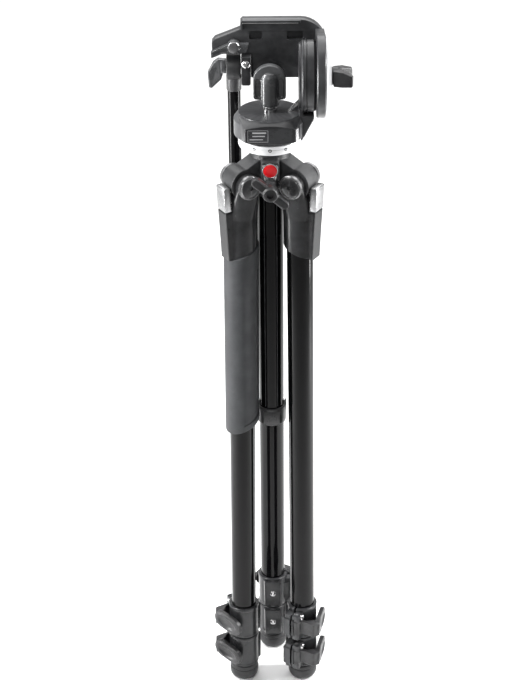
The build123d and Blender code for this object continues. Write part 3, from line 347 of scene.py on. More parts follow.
# ---------------------------------------------------------------- shaders
class Wire:
    """One value in a material, with the arithmetic that a shader needs."""

    def __init__(self, nodes: "NodeMaker", socket: bpy.types.NodeSocket) -> None:
        """Wraps an output socket."""
        self.nodes = nodes
        self.socket = socket

    def _maths(self, operation: str, first: "Wire | float", second: "Wire | float") -> "Wire":
        """Adds one Math node on two values."""
        return self.nodes.make("ShaderNodeMath", {"operation": operation}, {0: first, 1: second})

    def __add__(self, other: "Wire | float") -> "Wire":
        """The sum."""
        return self._maths("ADD", self, other)

    __radd__ = __add__

    def __mul__(self, other: "Wire | float") -> "Wire":
        """The product."""
        return self._maths("MULTIPLY", self, other)

    __rmul__ = __mul__

    def between(self, low: float, high: float) -> "Wire":
        """Spreads a value of 0 to 1 over a range."""
        return self * (high - low) + low

    def band(self, low: float, high: float) -> "Wire":
        """A soft step from 0 at low to 1 at high."""
        return self.nodes.make(
            "ShaderNodeMapRange", {"interpolation_type": "SMOOTHSTEP"},
            {"Value": self, "From Min": low, "From Max": high},
        )


class NodeMaker:
    """Adds the nodes of one material."""

    def __init__(self, material: bpy.types.Material) -> None:
        """Clears the material's tree and keeps its surface output."""
        material.use_nodes = True
        self.tree = material.node_tree
        self.tree.nodes.clear()
        self.output = self.tree.nodes.new("ShaderNodeOutputMaterial")

    def make(self, kind: str, settings: dict | None = None, values: dict | None = None,
             out: int | str = 0) -> Wire:
        """Adds one node.

        Args:
            kind: The node's type.
            settings: Its own settings, set before its sockets.
            values: The value or wire of each input socket.
            out: The output socket that is wanted.

        Returns:
            That output.
        """
        node = self.tree.nodes.new(kind)
        for key, value in (settings or {}).items():
            setattr(node, key, value)
        for key, value in (values or {}).items():
            if isinstance(value, Wire):
                self.tree.links.new(value.socket, node.inputs[key])
            else:
                node.inputs[key].default_value = value
        return Wire(self, node.outputs[out])

    def mix(self, amount: Wire, first: "Wire | Colour", second: "Wire | Colour") -> Wire:
        """Goes from one colour to another."""
        def full(colour: "Wire | Colour") -> "Wire | tuple[float, ...]":
            """A colour as its socket takes it."""
            return colour if isinstance(colour, Wire) else (*colour, 1.0)
        return self.make("ShaderNodeMix", {"data_type": "RGBA"},
                         {0: amount, 6: full(first), 7: full(second)}, out=2)


class Grain(Enum):
    """The pattern that a finish's surface shows when looked at closely."""

    POWDER = "powder"
    MOULDED = "moulded"
    DRAWN = "drawn"
    TURNED = "turned"
    PLAIN = "plain"


@dataclass(frozen=True)
class Finish:
    """A material of the tripod: its colours, its gloss and its grain.

    Args:
        name: The material's name.
        slot: The record's slot that it answers; not used.
        base: The colour of most of it.
        wear_and_highlight: The colour of its lighter random patches, and of its sharp edges, where
            it is a painted highlight.
        rough: Its lowest and highest roughness.
        metallic: How much of a metal it is.
        grain: The pattern of its surface.
        cell: The size of the pattern, in millimetres.
        height: How deep the pattern is, in millimetres.
        coat: A clear coat's weight.
        coat_rough: The clear coat's roughness.
        edge: How strongly its sharp edges are lightened, as a painted highlight.
        axis: The turned pattern's axis, in metres.
        specular: How strongly it mirrors when seen square on.
    """

    name: str
    slot: str
    base: Colour
    wear_and_highlight: Colour
    rough: Point
    metallic: float = 0.0
    grain: Grain = Grain.PLAIN
    cell: float = 1.0
    height: float = 0.02
    coat: float = 0.0
    coat_rough: float = 0.1
    edge: float = 0.0
    axis: tuple[float, float, float] = (0.0, 0.0, 0.0)
    specular: float = 0.5

    def _pattern(self, nodes: NodeMaker) -> Wire:
        """The height pattern of the grain, from 0 to 1."""
        spot = nodes.make("ShaderNodeTexCoord", out="Object")
        if self.grain is Grain.DRAWN:
            spot = nodes.make("ShaderNodeMapping", None, {"Vector": spot, "Scale": (1, 1, 0.012)})
        elif self.grain is Grain.TURNED:
            spot = nodes.make("ShaderNodeMapping", None,
                              {"Vector": spot, "Location": tuple(-a for a in self.axis)})
            return nodes.make(
                "ShaderNodeTexWave", {"wave_type": "RINGS", "rings_direction": "Z"},
                {"Vector": spot, "Scale": 1 / (self.cell * MM * 20), "Distortion": 0.15,
                 "Detail": 2.0, "Detail Scale": 3.0}, out="Fac",
            )
        if self.grain is Grain.MOULDED:
            return nodes.make("ShaderNodeTexVoronoi", {"feature": "SMOOTH_F1"},
                              {"Vector": spot, "Scale": 1 / (self.cell * MM)}, out="Distance")
        return nodes.make("ShaderNodeTexNoise", None,
                          {"Vector": spot, "Scale": 1 / (self.cell * MM), "Detail": 3.0}, out="Fac")

    def material(self) -> bpy.types.Material:
        """The finish as a material, made once."""
        known = bpy.data.materials.get(self.name)
        if known is not None:
            return known
        material = bpy.data.materials.new(self.name)
        nodes = NodeMaker(material)
        spot = nodes.make("ShaderNodeTexCoord", out="Object")
        patches = nodes.make("ShaderNodeTexNoise", None,
                             {"Vector": spot, "Scale": 45.0, "Detail": 5.0, "Roughness": 0.6},
                             out="Fac").band(0.35, 0.7)
        pattern = self._pattern(nodes)
        lighter = patches * 0.35 + pattern * 0.25
        # Painted highlight: sharp crests are lightened towards the second colour.
        if self.edge > 0:
            painted_edge_highlight = nodes.make("ShaderNodeNewGeometry", out="Pointiness").band(0.52, 0.62)
            lighter = nodes.make("ShaderNodeMath", {"operation": "ADD", "use_clamp": True},
                                 {0: lighter, 1: painted_edge_highlight * self.edge})
        colour = nodes.mix(lighter, self.base, self.wear_and_highlight)
        rough = (patches * 0.6 + pattern * 0.4).between(*self.rough)
        bump = nodes.make("ShaderNodeBump", None,
                          {"Height": pattern, "Strength": 1.0, "Distance": self.height * MM})
        shader = nodes.make("ShaderNodeBsdfPrincipled", None, {"Base Color": colour,
            "Roughness": rough, "Metallic": self.metallic, "Specular IOR Level": self.specular,
            "Coat Weight": self.coat, "Coat Roughness": self.coat_rough, "Normal": bump})
        nodes.tree.links.new(shader.socket, nodes.output.inputs["Surface"])
        return material


AXIS = tuple(JOINTS["pan_turn"]["pos_m"][:2]) + (0.0,)

CASTING = Finish("powder_coated_casting", "black_casting", (0.006, 0.006, 0.0065),
                 (0.035, 0.036, 0.038), (0.25, 0.36), 0.0, Grain.POWDER, 0.55, 0.04,
                 coat=0.2, coat_rough=0.16, edge=0.6, specular=0.18)
HUB_CASTING = Finish("grained_hub_casting", "black_casting", (0.01, 0.0105, 0.011),
                     (0.07, 0.071, 0.074), (0.36, 0.5), 0.0, Grain.POWDER, 0.9, 0.12,
                     edge=0.6, specular=0.35)
HEAD_CASTING = Finish("satin_head_casting", "black_casting", (0.009, 0.0092, 0.01),
                      (0.065, 0.066, 0.069), (0.26, 0.38), 0.1, Grain.POWDER, 0.4, 0.02,
                      coat=0.16, coat_rough=0.16, edge=0.5, specular=0.2)
TUBE = Finish("anodised_tube", "black_tube", (0.0015, 0.0015, 0.0017), (0.004, 0.004, 0.0044),
              (0.12, 0.18), 0.0, Grain.DRAWN, 0.25, 0.006, coat=0.14, coat_rough=0.05,
              specular=0.08)
ALUMINIUM = Finish("turned_aluminium", "machined_aluminium", (0.7, 0.705, 0.715),
                   (0.9, 0.9, 0.905), (0.28, 0.4), 0.35, Grain.TURNED, 0.5, 0.012, axis=AXIS)
STEEL = Finish("plated_steel", "steel", (0.5, 0.5, 0.5), (0.72, 0.72, 0.73), (0.16, 0.28), 1.0,
               Grain.DRAWN, 0.3, 0.006)
SATIN_STEEL = Finish("satin_steel", "steel", (0.12, 0.12, 0.122), (0.3, 0.3, 0.305), (0.24, 0.36),
                     0.9, Grain.DRAWN, 0.3, 0.006, edge=0.5)
SELECTOR_METAL = Finish("brushed_selector", "machined_aluminium", (0.27, 0.272, 0.276),
                        (0.46, 0.46, 0.465), (0.22, 0.36), 1.0, Grain.DRAWN, 0.35, 0.012, edge=0.3)
BLACK_PLASTIC = Finish("moulded_black", "black_plastic", (0.005, 0.005, 0.0055),
                       (0.06, 0.06, 0.062), (0.26, 0.38), 0.0, Grain.MOULDED, 0.5, 0.015,
                       edge=0.9, specular=0.3)
GREY_PLASTIC = Finish("satin_grey_plastic", "grey_plastic", (0.026, 0.027, 0.028),
                      (0.12, 0.122, 0.127), (0.24, 0.34), 0.15, Grain.MOULDED, 0.35, 0.008,
                      coat=0.25, coat_rough=0.14, edge=0.6, specular=0.35)
CAP = Finish("satin_cap_plastic", "satin_cap", (0.4, 0.405, 0.41), (0.55, 0.555, 0.56),
             (0.3, 0.4), 0.5, Grain.POWDER, 0.3, 0.006)
LABEL = Finish("label_print", "label_grey", (0.018, 0.0185, 0.02), (0.04, 0.041, 0.044),
               (0.25, 0.33), 0.0, Grain.PLAIN, 0.5, 0.004, coat=0.3, coat_rough=0.1, specular=0.3)
LABEL_MARK = Finish("label_mark", "label_grey", (0.4, 0.4, 0.41), (0.52, 0.52, 0.53),
                    (0.3, 0.4), 0.3, Grain.PLAIN, 0.5, 0.004)
RED = Finish("red_enamel_paint", "red_enamel", (0.6, 0.004, 0.008), (0.72, 0.015, 0.02),
             (0.18, 0.26), 0.0, Grain.PLAIN, 0.6, 0.006, coat=0.6, coat_rough=0.05, specular=0.3)
RUBBER = Finish("foot_rubber", "rubber", (0.01, 0.01, 0.0105), (0.05, 0.05, 0.052),
                (0.34, 0.5), 0.0, Grain.MOULDED, 0.45, 0.015, edge=0.3, specular=0.25)
GRIP_RUBBER = Finish("grip_foam", "grip_rubber", (0.03, 0.031, 0.033), (0.065, 0.067, 0.07),
                     (0.5, 0.64), 0.0, Grain.POWDER, 0.35, 0.05, specular=0.15)


# ---------------------------------------------------------------- pieces
def finish_piece(solid: Solid, name: str, body: str, look: Finish, place: Matrix,
                 nodes: Iterable[str] = (), crease: float = 32.0) -> bpy.types.Object:
    """Makes a solid a piece of the tripod.

    Args:
        solid: The shape, in the millimetres of its assembly's frame.
        name: The piece's name.
        body: The CAD body that it rides on.
        look: Its finish.
        place: Where the assembly's frame lies, in metres.
        nodes: The CAD nodes that it stands for.
        crease: Edges sharper than this many degrees stay sharp in the shading.

    Returns:
        The piece.
    """
    bmesh.ops.transform(solid.bm, matrix=place @ Matrix.Scale(MM, 4), verts=solid.bm.verts[:])
    bmesh.ops.recalc_face_normals(solid.bm, faces=solid.bm.faces[:])
    mesh = bpy.data.meshes.new(name)
    solid.bm.to_mesh(mesh)
    solid.bm.free()
    mesh.shade_smooth()
    mesh.set_sharp_from_angle(angle=math.radians(crease))
    mesh.materials.append(look.material())
    piece = bpy.data.objects.new(name, mesh)
    bpy.context.scene.collection.objects.link(piece)
    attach(piece, body)
    if nodes:
        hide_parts(*nodes)
    LOG.info("%s on %s: %d faces", name, body, len(mesh.polygons))
    return piece


def dress_node(node: str, look: Finish) -> None:
    """Gives a CAD node that stays its finish."""
    mesh = frame["nodes"][node].data
    mesh.materials.clear()
    mesh.materials.append(look.material())
    LOG.info("%s dressed in %s", node, look.name)


# ---------------------------------------------------------------- legs
@dataclass
class LegShapes:
    """The solids that the three legs share, in a leg's own frame: +X outwards, +Z up the tube.

    Args:
        length: From the sole to the pivot.
        collar_r: Outer radius of the clamp collars.
        collar_height: Height of a clamp collar.
        upper_bores: Radii of the upper collar's grip on its tube and of its passage.
        lower_bores: The same radii of the lower collar.
        pin: The lever pin's place beside the tube.
        pad_facing: The direction that the thumb pad faces, in degrees from outwards.
        casting_r: Radius of the top casting's socket.
        cheek_out: Outer face of the pivot cheeks.
        cheek_in: Inner face of the pivot cheeks.
        edge: Mean height of the casting's slanted lower edge.
        slant: The slant of that edge, in degrees.
    """

    length: float = 593.0
    collar_r: float = 16.0
    collar_height: float = 38.5
    upper_bores: Point = (13.03, 11.31)
    lower_bores: Point = (11.28, 9.66)
    pin: Point = (4.8, -21.0)
    pad_facing: float = 18.0
    casting_r: float = 16.0
    cheek_out: float = 19.5
    cheek_in: float = 10.3
    edge: float = 523.0
    slant: float = 22.0
    made: dict[str, Solid] = field(default_factory=dict)

    def take(self, shape: str) -> Solid:
        """A copy of a shared solid, which is made when it is first asked for."""
        if shape not in self.made:
            self.made[shape] = getattr(self, f"make_{shape}")()
        return self.made[shape].copy()

    def edge_normal(self) -> Vector:
        """The direction square to the casting's slanted edge."""
        return turned(self.slant, "Y").to_3x3() @ Vector((0, 0, 1))

    def make_casting(self) -> Solid:
        """The top casting: tube socket, pivot cheeks and the fin that guides the selector."""
        top, r = self.length, self.casting_r
        socket = Solid.turning([(0, 505), (r, 505), (r, 562), (0, 562)])
        cheeks = Solid.disc((0, top), 11.5, -self.cheek_out, self.cheek_out, Facing.BACK)
        neck = Solid.disc((0, top), 11.3, -16.6, 16.6, Facing.BACK)
        foot = Solid.disc((0, 0), r, 558, 560)
        body = Solid.hull(neck, foot)
        fin = Solid.prism([(6, 505), (17.2, 505), (19.6, 545), (21.2, 567), (6, 567)], -8.4, 8.4,
                          Facing.BACK).bevel(1.6, 3)
        rib = Solid.hull(Solid.disc((14.2, 0), 2.6, 505, 507), Solid.disc((15.6, 0), 4.6, 572, 574))
        gap = Solid.disc((0, top), 15.4, -self.cheek_in, self.cheek_in, Facing.BACK)
        bay = Solid.block((13.7, -8.2), (40, 8.2), 567.2, 640)
        bore = Solid.disc((0, 0), 13.05, 495, 571)
        parts = [part.cut(gap, bay, bore) for part in (socket, body, cheeks, fin, rib)]
        skin = Solid().join(*parts).cast(0.5, 3)
        return skin.trim(Vector((0, 0, self.edge)), -self.edge_normal())

    def make_selector(self) -> Solid:
        """The curved tab that sets the leg's angle."""
        rim = [(16.2 * math.cos(a), self.length + 16.2 * math.sin(a))
               for a in (math.radians(d) for d in (-30, -24, -18, -12, -6))]
        outline = [(14.0, 567.3), *rim, (16.2, 592.0), (22.6, 592.0, 1.5), (21.4, 567.3)]
        tab = Solid.prism(outline, -7.9, 7.9, Facing.BACK)
        return tab.bevel(1.1, 3, 50)

    def make_grip(self) -> Solid:
        """The soft grip, with slanted ends and a sunk panel down its side."""
        normal = self.edge_normal()
        ring = Solid.turning([(13.05, 305), (17.0, 305), (17.3, 310), (17.3, 545), (13.05, 545)])
        ring.trim(Vector((0, 0, self.edge - 0.5)), normal).trim(Vector((0, 0, 326)), -normal)
        arc = [math.radians(d) for d in range(66, 157, 6)]
        sector = [(16.55 * math.cos(a), 16.55 * math.sin(a)) for a in arc]
        sector += [(20 * math.cos(a), 20 * math.sin(a)) for a in reversed(arc)]
        panel = Solid.prism(sector, 290, 530)
        panel.trim(Vector((0, 0, 497)), normal).trim(Vector((0, 0, 333)), -normal)
        return ring.bevel(0.9, 3, 50).cut(panel)

    def collar_profile(self, held: float, passing: float) -> list[Point]:
        """The collar's section: a lip, a chamfered foot and two bores."""
        r, h = self.collar_r, self.collar_height
        return [(held, 16.0), (held, h), (r - 0.9, h), (r - 0.3, h - 0.4), (r, h - 1.2),
                (r, h - 3.0), (r - 0.35, h - 3.4), (r - 0.35, 3.2), (r, 2.8), (r, 1.0),
                (r - 1.1, 0), (passing, 0), (passing, 16.0)]

    def make_collar(self, held: float, passing: float) -> Solid:
        """A split clamp collar with its ears and the flat that its rivet sits on."""
        h = self.collar_height
        ring = Solid.turning(self.collar_profile(held, passing))
        ears = Solid.prism([(-8.5, -24.5, 2.2), (8.5, -24.5, 2.2), (8.5, -8), (-8.5, -8)], 4, h - 4)
        block = Solid.prism([(-10.2, -26.4, 2.4), (3.2, -26.4, 1.6), (3.2, -10), (-10.2, -10)],
                            h / 2 - 10.4, h / 2 + 10.4)
        boss = Solid.disc((-17.1, h - 7.4), 4.6, 2, 8.6, Facing.RIGHT, 48)
        flat = Solid.prism([(-16.3, -8.8, 1.2), (-9, -11), (-9, 11), (-16.3, 8.8, 1.2)], 3.2,
            h - 3.4)
        tools = [
            Solid.disc((0, 0), held, 16, 60), Solid.disc((0, 0), passing, -5, 17),
            Solid.block((-1.2, -40), (1.2, -6), -5, 60),
        ]
        low, high = h / 2 - 8.5, h / 2 + 8.5
        knuckle = [Solid.disc(self.pin, 5.1, low, high),
                   Solid.prism([(4.8, -27), (24, -27), (24, -5.6), (15.1, -5.6), (12.4, -10.3),
                                (8.4, -13.8), (4.8, -15.4)], low, high)]
        parts = [ring] + [part.bevel(0.5, 2).cut(*tools[:2]) for part in (ears, block, boss, flat)]
        parts = [parts[0].cut(tools[2])] + [part.cut(tools[2], *knuckle) for part in parts[1:3]] \
            + parts[3:]
        return Solid().join(*parts)

    def make_upper_collar(self) -> Solid:
        """The collar under the upper tube."""
        return self.make_collar(*self.upper_bores)

    def make_lower_collar(self) -> Solid:
        """The collar under the middle tube."""
        return self.make_collar(*self.lower_bores)

    def make_bolts(self) -> Solid:
        """The clamp bolt with its socket head, and the lever's upright pin."""
        h = self.collar_height
        shank = Solid.disc((-17.1, h - 7.4), 1.6, -8.4, 9, Facing.RIGHT, 32)
        head = Solid.turning([(0, 8.7), (3.1, 8.7), (3.1, 10.2), (2.6, 10.8), (0, 10.8)],
                             Facing.RIGHT, (-17.1, h - 7.4), 40)
        head.cut(Solid.disc((-17.1, h - 7.4), 1.5, 9.4, 12, Facing.RIGHT, 6))
        pin = Solid.disc(self.pin, 1.5, 4.2, h - 4.2, sides=32).bevel(0.3)
        return Solid().join(shank, head, pin)

    def make_rivet(self) -> Solid:
        """The screw on the collar's inner flat, with a cross in its domed head."""
        head = Solid.turning([(0, -18.0), (1.6, -17.8), (2.9, -17.1), (3.2, -16.2), (0, -16.2)],
                             Facing.RIGHT, (0, self.collar_height / 2), 40)
        for tilt in (20, 110):
            slot = Solid.block((-2.2, -0.35), (2.2, 0.35), -19, -17.3)
            slot.place(turned(tilt)).place(moved(0, self.collar_height / 2)).place(
                Facing.RIGHT.value)
            head.cut(slot)
        return head

    def make_lever(self) -> Solid:
        """The cam lever: boss, arm and the long dished thumb pad."""
        middle = self.collar_height / 2
        low, high = middle - 8.2, middle + 8.2
        boss = Solid.disc(self.pin, 4.5, low, high)
        arm = Solid.prism([(4.8, -25.5), (10.0, -19.5), (24.6, -19.4, 2), (28.3, -12.6),
            (22.5, -8.1), (13.8, -15.5), (6.4, -16.6)], low, high)
        pad = Solid.slot((0, 0), 37.0, 20.0, 18.4, 23.0)
        lip = Solid.slot((0, 0), 33.0, 16.4, 22.4, 23.6)
        dish = Solid.turning([(0, -2.4), (3, -2.1), (5, -1.3), (6.6, 0.2), (6.6, 3), (0, 3)])
        dish.place(Matrix.Diagonal((2.1, 1.0, 1.0, 1.0))).place(moved(0, 0, 23.6))
        back = Solid.slot((0, 0), 30.0, 13.0, 17.0, 19.6)
        slab = Solid().join(pad.cut(dish, back), lip.cut(dish))
        slab.place(turned(-7)).place(moved(-4.2, middle))
        slab.place(Facing.RIGHT.value).place(turned(self.pad_facing))
        hole = Solid.disc(self.pin, 1.56, -5, 60)
        return Solid().join(boss.cut(hole), arm.cut(hole), slab).cast(0.42, 2)

    def make_foot(self) -> Solid:
        """The rubber foot: a ribbed cup with a domed sole."""
        return Solid.turning([
            (0, 0), (8.2, 0), (9.0, 0.1), (11.6, 0.9), (13.6, 2.6), (14.9, 5.2), (15.4, 7.6),
            (15.5, 8.6), (15.5, 13.2), (15.2, 14.0), (14.6, 14.4), (14.6, 15.2), (14.9, 15.6),
            (14.9, 18.6), (14.4, 19.4), (13.6, 19.8), (9.65, 19.8), (9.65, 6), (0, 6),
        ])

    def make_pivot_ring(self) -> Solid:
        """The bright rings on both ends of the hinge."""
        sides = [Solid.turning([(9.8, y - s * 3.2), (9.8, y + s * 0.8), (10.2, y + s * 1.0),
                                (11.2, y + s * 1.0), (11.8, y + s * 0.4), (11.8, y - s * 2.8),
                                (11.4, y - s * 3.2)], Facing.BACK, (0, self.length), 96)
                 for s, y in ((1, self.cheek_out - 0.4), (-1, 0.4 - self.cheek_out))]
        return sides[0].join(sides[1])

    def make_pivot_face(self) -> Solid:
        """The dark discs inside those rings, each with a socket for a key."""
        discs = Solid()
        for s in (1, -1):
            y = s * self.cheek_out
            disc = Solid.turning([(0, y - s * 0.4), (9.8, y - s * 0.4), (9.8, y + s * 0.1),
                                  (8.6, y + s * 0.5), (5.6, y + s * 1.0), (0, y + s * 1.15)],
                                 Facing.BACK, (0, self.length), 64)
            low, high = sorted((y + s * 0.2, y + s * 3))
            discs.join(disc.cut(Solid.disc((0, self.length), 2.4, low, high, Facing.BACK, 6)))
        return discs


@dataclass
class Leg:
    """One leg with its casting, clamps and foot.

    Args:
        name: left, right or rear.
        shapes: The solids that the legs share.
        upper_foot: Foot of the upper collar.
        lower_foot: Foot of the lower collar.
        has_grip: Whether the upper tube carries the soft grip.
    """

    name: str
    shapes: LegShapes
    upper_foot: float = 60.1
    lower_foot: float = 20.8
    has_grip: bool = False

    def place(self) -> Matrix:
        """The leg's own frame, from its joints."""
        pivot = Vector(JOINTS[f"{self.name}_leg_spread"]["pos_m"])
        up = -Vector(JOINTS[f"{self.name}_middle_slide"]["axis"]).normalized()
        out = (pivot - Vector((AXIS[0], AXIS[1], pivot.z)))
        out = (out - up * out.dot(up)).normalized()
        turn = Matrix((out, up.cross(out), up)).transposed().to_4x4()
        return Matrix.Translation(pivot - up * self.shapes.length * MM) @ turn

    def dress(self) -> None:
        """Gives the tubes their finish."""
        for node in ("upper_tube", "middle_tube", "lower_tube"):
            dress_node(f"{self.name}_{node}", TUBE)

    def build(self) -> None:
        """Makes the leg's pieces and puts each on its body."""
        side, take, place = self.name, self.shapes.take, self.place()
        leg = f"{side}_leg"
        finish_piece(take("casting"), f"{side}_top_casting", leg, CASTING, place,
                     [f"{side}_casting"], 60)
        finish_piece(take("selector"), f"{side}_angle_tab", f"{side}_selector", SELECTOR_METAL,
                     place, [f"{side}_selector"])
        finish_piece(take("pivot_ring"), f"{side}_hinge_rings", leg, SATIN_STEEL, place)
        finish_piece(take("pivot_face"), f"{side}_hinge_caps", leg, BLACK_PLASTIC, place)
        if self.has_grip:
            finish_piece(take("grip"), f"{side}_soft_grip", leg, GRIP_RUBBER, place,
                         [f"{side}_grip"], 40)
        clamps = (("upper", self.upper_foot, leg), ("lower", self.lower_foot, f"{side}_middle"))
        for level, foot, body in clamps:
            here = place @ Matrix.Translation((0, 0, foot * MM))
            key = f"{side}_{level}"
            finish_piece(take(f"{level}_collar"), f"{key}_clamp_body", body, CASTING, here,
                         [f"{key}_collar"])
            finish_piece(take("bolts"), f"{key}_clamp_bolts", body, STEEL, here, [f"{key}_bolts"])
            finish_piece(take("rivet"), f"{key}_clamp_screw", body, STEEL, here)
            finish_piece(take("lever"), f"{key}_cam_lever", f"{key}_lever", BLACK_PLASTIC, here,
                         [f"{key}_lever"], 60)
        finish_piece(take("foot"), f"{side}_rubber_foot", f"{side}_lower", RUBBER, place,
                     [f"{side}_foot"])
        self.dress()


# ---------------------------------------------------------------- spider and column
class AxisAssembly:
    """An assembly whose frame stands on the column's foot: +X right, -Y front, +Z up."""

    def place(self) -> Matrix:
        """Where the assembly's frame lies, in metres."""
        return Matrix.Translation(AXIS)

    def put(self, solid: Solid, name: str, body: str, look: Finish, nodes: Iterable[str] = (),
            crease: float = 32.0) -> None:
        """Makes a solid a piece in this assembly's frame."""
        finish_piece(solid, name, body, look, self.place(), nodes, crease)


@dataclass
class Spider(AxisAssembly):
    """The hub that carries the legs, with the badge and the clamp knob.

    Args:
        pivot_r: Distance of the leg pivots from the column.
        pivot_z: Height of the leg pivots.
        foot: Underside of the hub.
        top: Top of the hub.
        knob_z: Height of the clamp knob's axis.
        badge_z: Height of the badge.
    """

    pivot_r: float = 32.3
    pivot_z: float = 593.05
    foot: float = 576.5
    top: float = 619.8
    knob_z: float = 592.0
    badge_z: float = 609.0

    def hub(self) -> Solid:
        """The casting: hub, three lugs, badge boss and knob boss."""
        bore = Solid.disc((0, 0), 12.56, 560, 640)
        parts = [Solid.turning([(0, self.foot), (17.6, self.foot), (18.5, self.foot + 1),
            (18.5, self.top - 2.5), (17.4, self.top - 0.4), (0, self.top - 0.4)])]
        for azimuth in (90, 210, 330):
            lug = Solid.disc((self.pivot_r, self.pivot_z), 15.0, -9.9, 9.9, Facing.BACK)
            arm = Solid.prism([(8, self.pivot_z - 7.5), (self.pivot_r, self.pivot_z - 7.5),
                               (self.pivot_r, self.pivot_z + 14.4), (16.5, self.top - 4.6, 6),
                               (8, self.top - 4.6)], -9.9, 9.9, Facing.BACK)
            parts += [lug.place(turned(azimuth)), arm.place(turned(azimuth))]
        badge = Solid.prism([(-8.5, self.badge_z - 10.5, 1), (8.5, self.badge_z - 10.5, 1),
                             (8.5, self.top - 2.4, 3), (-8.5, self.top - 2.4, 3)], -27.8, -9,
                            Facing.BACK)
        boss = Solid.disc((0, self.knob_z), 6.2, -32.8, -9, Facing.BACK)
        web = Solid.hull(Solid.disc((0, self.knob_z), 6.2, -30, -9, Facing.BACK),
                         Solid.disc((0, self.badge_z - 6), 4.5, -26, -9, Facing.BACK))
        parts += [badge, boss, web]
        return Solid().join(*[part.cut(bore) for part in parts]).cast(0.55, 3)

    def badge(self) -> Solid:
        """The domed round badge."""
        return Solid.turning([(0, -28.0), (6.7, -28.0), (6.7, -29.6), (6.2, -30.1), (5.4, -30.3),
                              (2.8, -30.45), (0, -30.5)], Facing.BACK, (0, self.badge_z))

    def shield(self) -> Solid:
        """The bright plate under the badge, narrower towards the knob."""
        z = self.badge_z
        plate = Solid.prism([(-8.0, z + 5.6, 2), (-5.2, z - 9.6, 1), (5.2, z - 9.6, 1),
                             (8.0, z + 5.6, 2)], -29.7, -27.6, Facing.BACK)
        return plate.bevel(0.25, 2, 50)

    def bezel(self) -> Solid:
        """The thin bright ring round the badge."""
        return Solid.turning([(6.75, -28.0), (7.5, -28.0), (7.5, -29.9), (7.1, -30.2),
                              (6.75, -30.2)], Facing.BACK, (0, self.badge_z))

    def knob(self) -> Solid:
        """The T-shaped clamp knob: tapered wings on a round hub with a key socket."""
        wings = Solid.slot((0, 0), 43.0, 9.0, 38.3, 45.6)
        wings.place(Facing.BACK.value).place(Matrix.Diagonal((1, -1, 1, 1)))
        waist = Solid.block((-21, -3.4), (21, 3.4), -46.6, -44, Facing.BACK, 3)
        bar = Solid().join(wings, waist).place(turned(40, "Y")).place(moved(0, 0, self.knob_z))
        hub = Solid.turning([(0, -33.4), (5.6, -33.4), (6.4, -36), (7.6, -38.4), (7.8, -45),
                             (7.0, -47.6), (6.2, -48.8), (5.2, -49.0), (0, -49.0)],
                            Facing.BACK, (0, self.knob_z))
        return Solid().join(bar, hub).cast(0.45, 3).cut(
            Solid.disc((0, self.knob_z), 3.5, -60, -45.8, Facing.BACK, 6))

    def build(self) -> None:
        """Makes the spider's pieces."""
        self.put(self.hub(), "spider_hub", "spider", HUB_CASTING, ["spider"], 60)
        self.put(self.badge(), "round_badge", "spider", RED, ["badge"])
        self.put(self.shield(), "badge_shield", "spider", STEEL)
        self.put(self.bezel(), "badge_bezel", "spider", STEEL)
        self.put(self.knob(), "column_clamp_knob", "column_knob", BLACK_PLASTIC,
                 ["column_knob"], 60)
        dress_node("pivot_pins", STEEL)


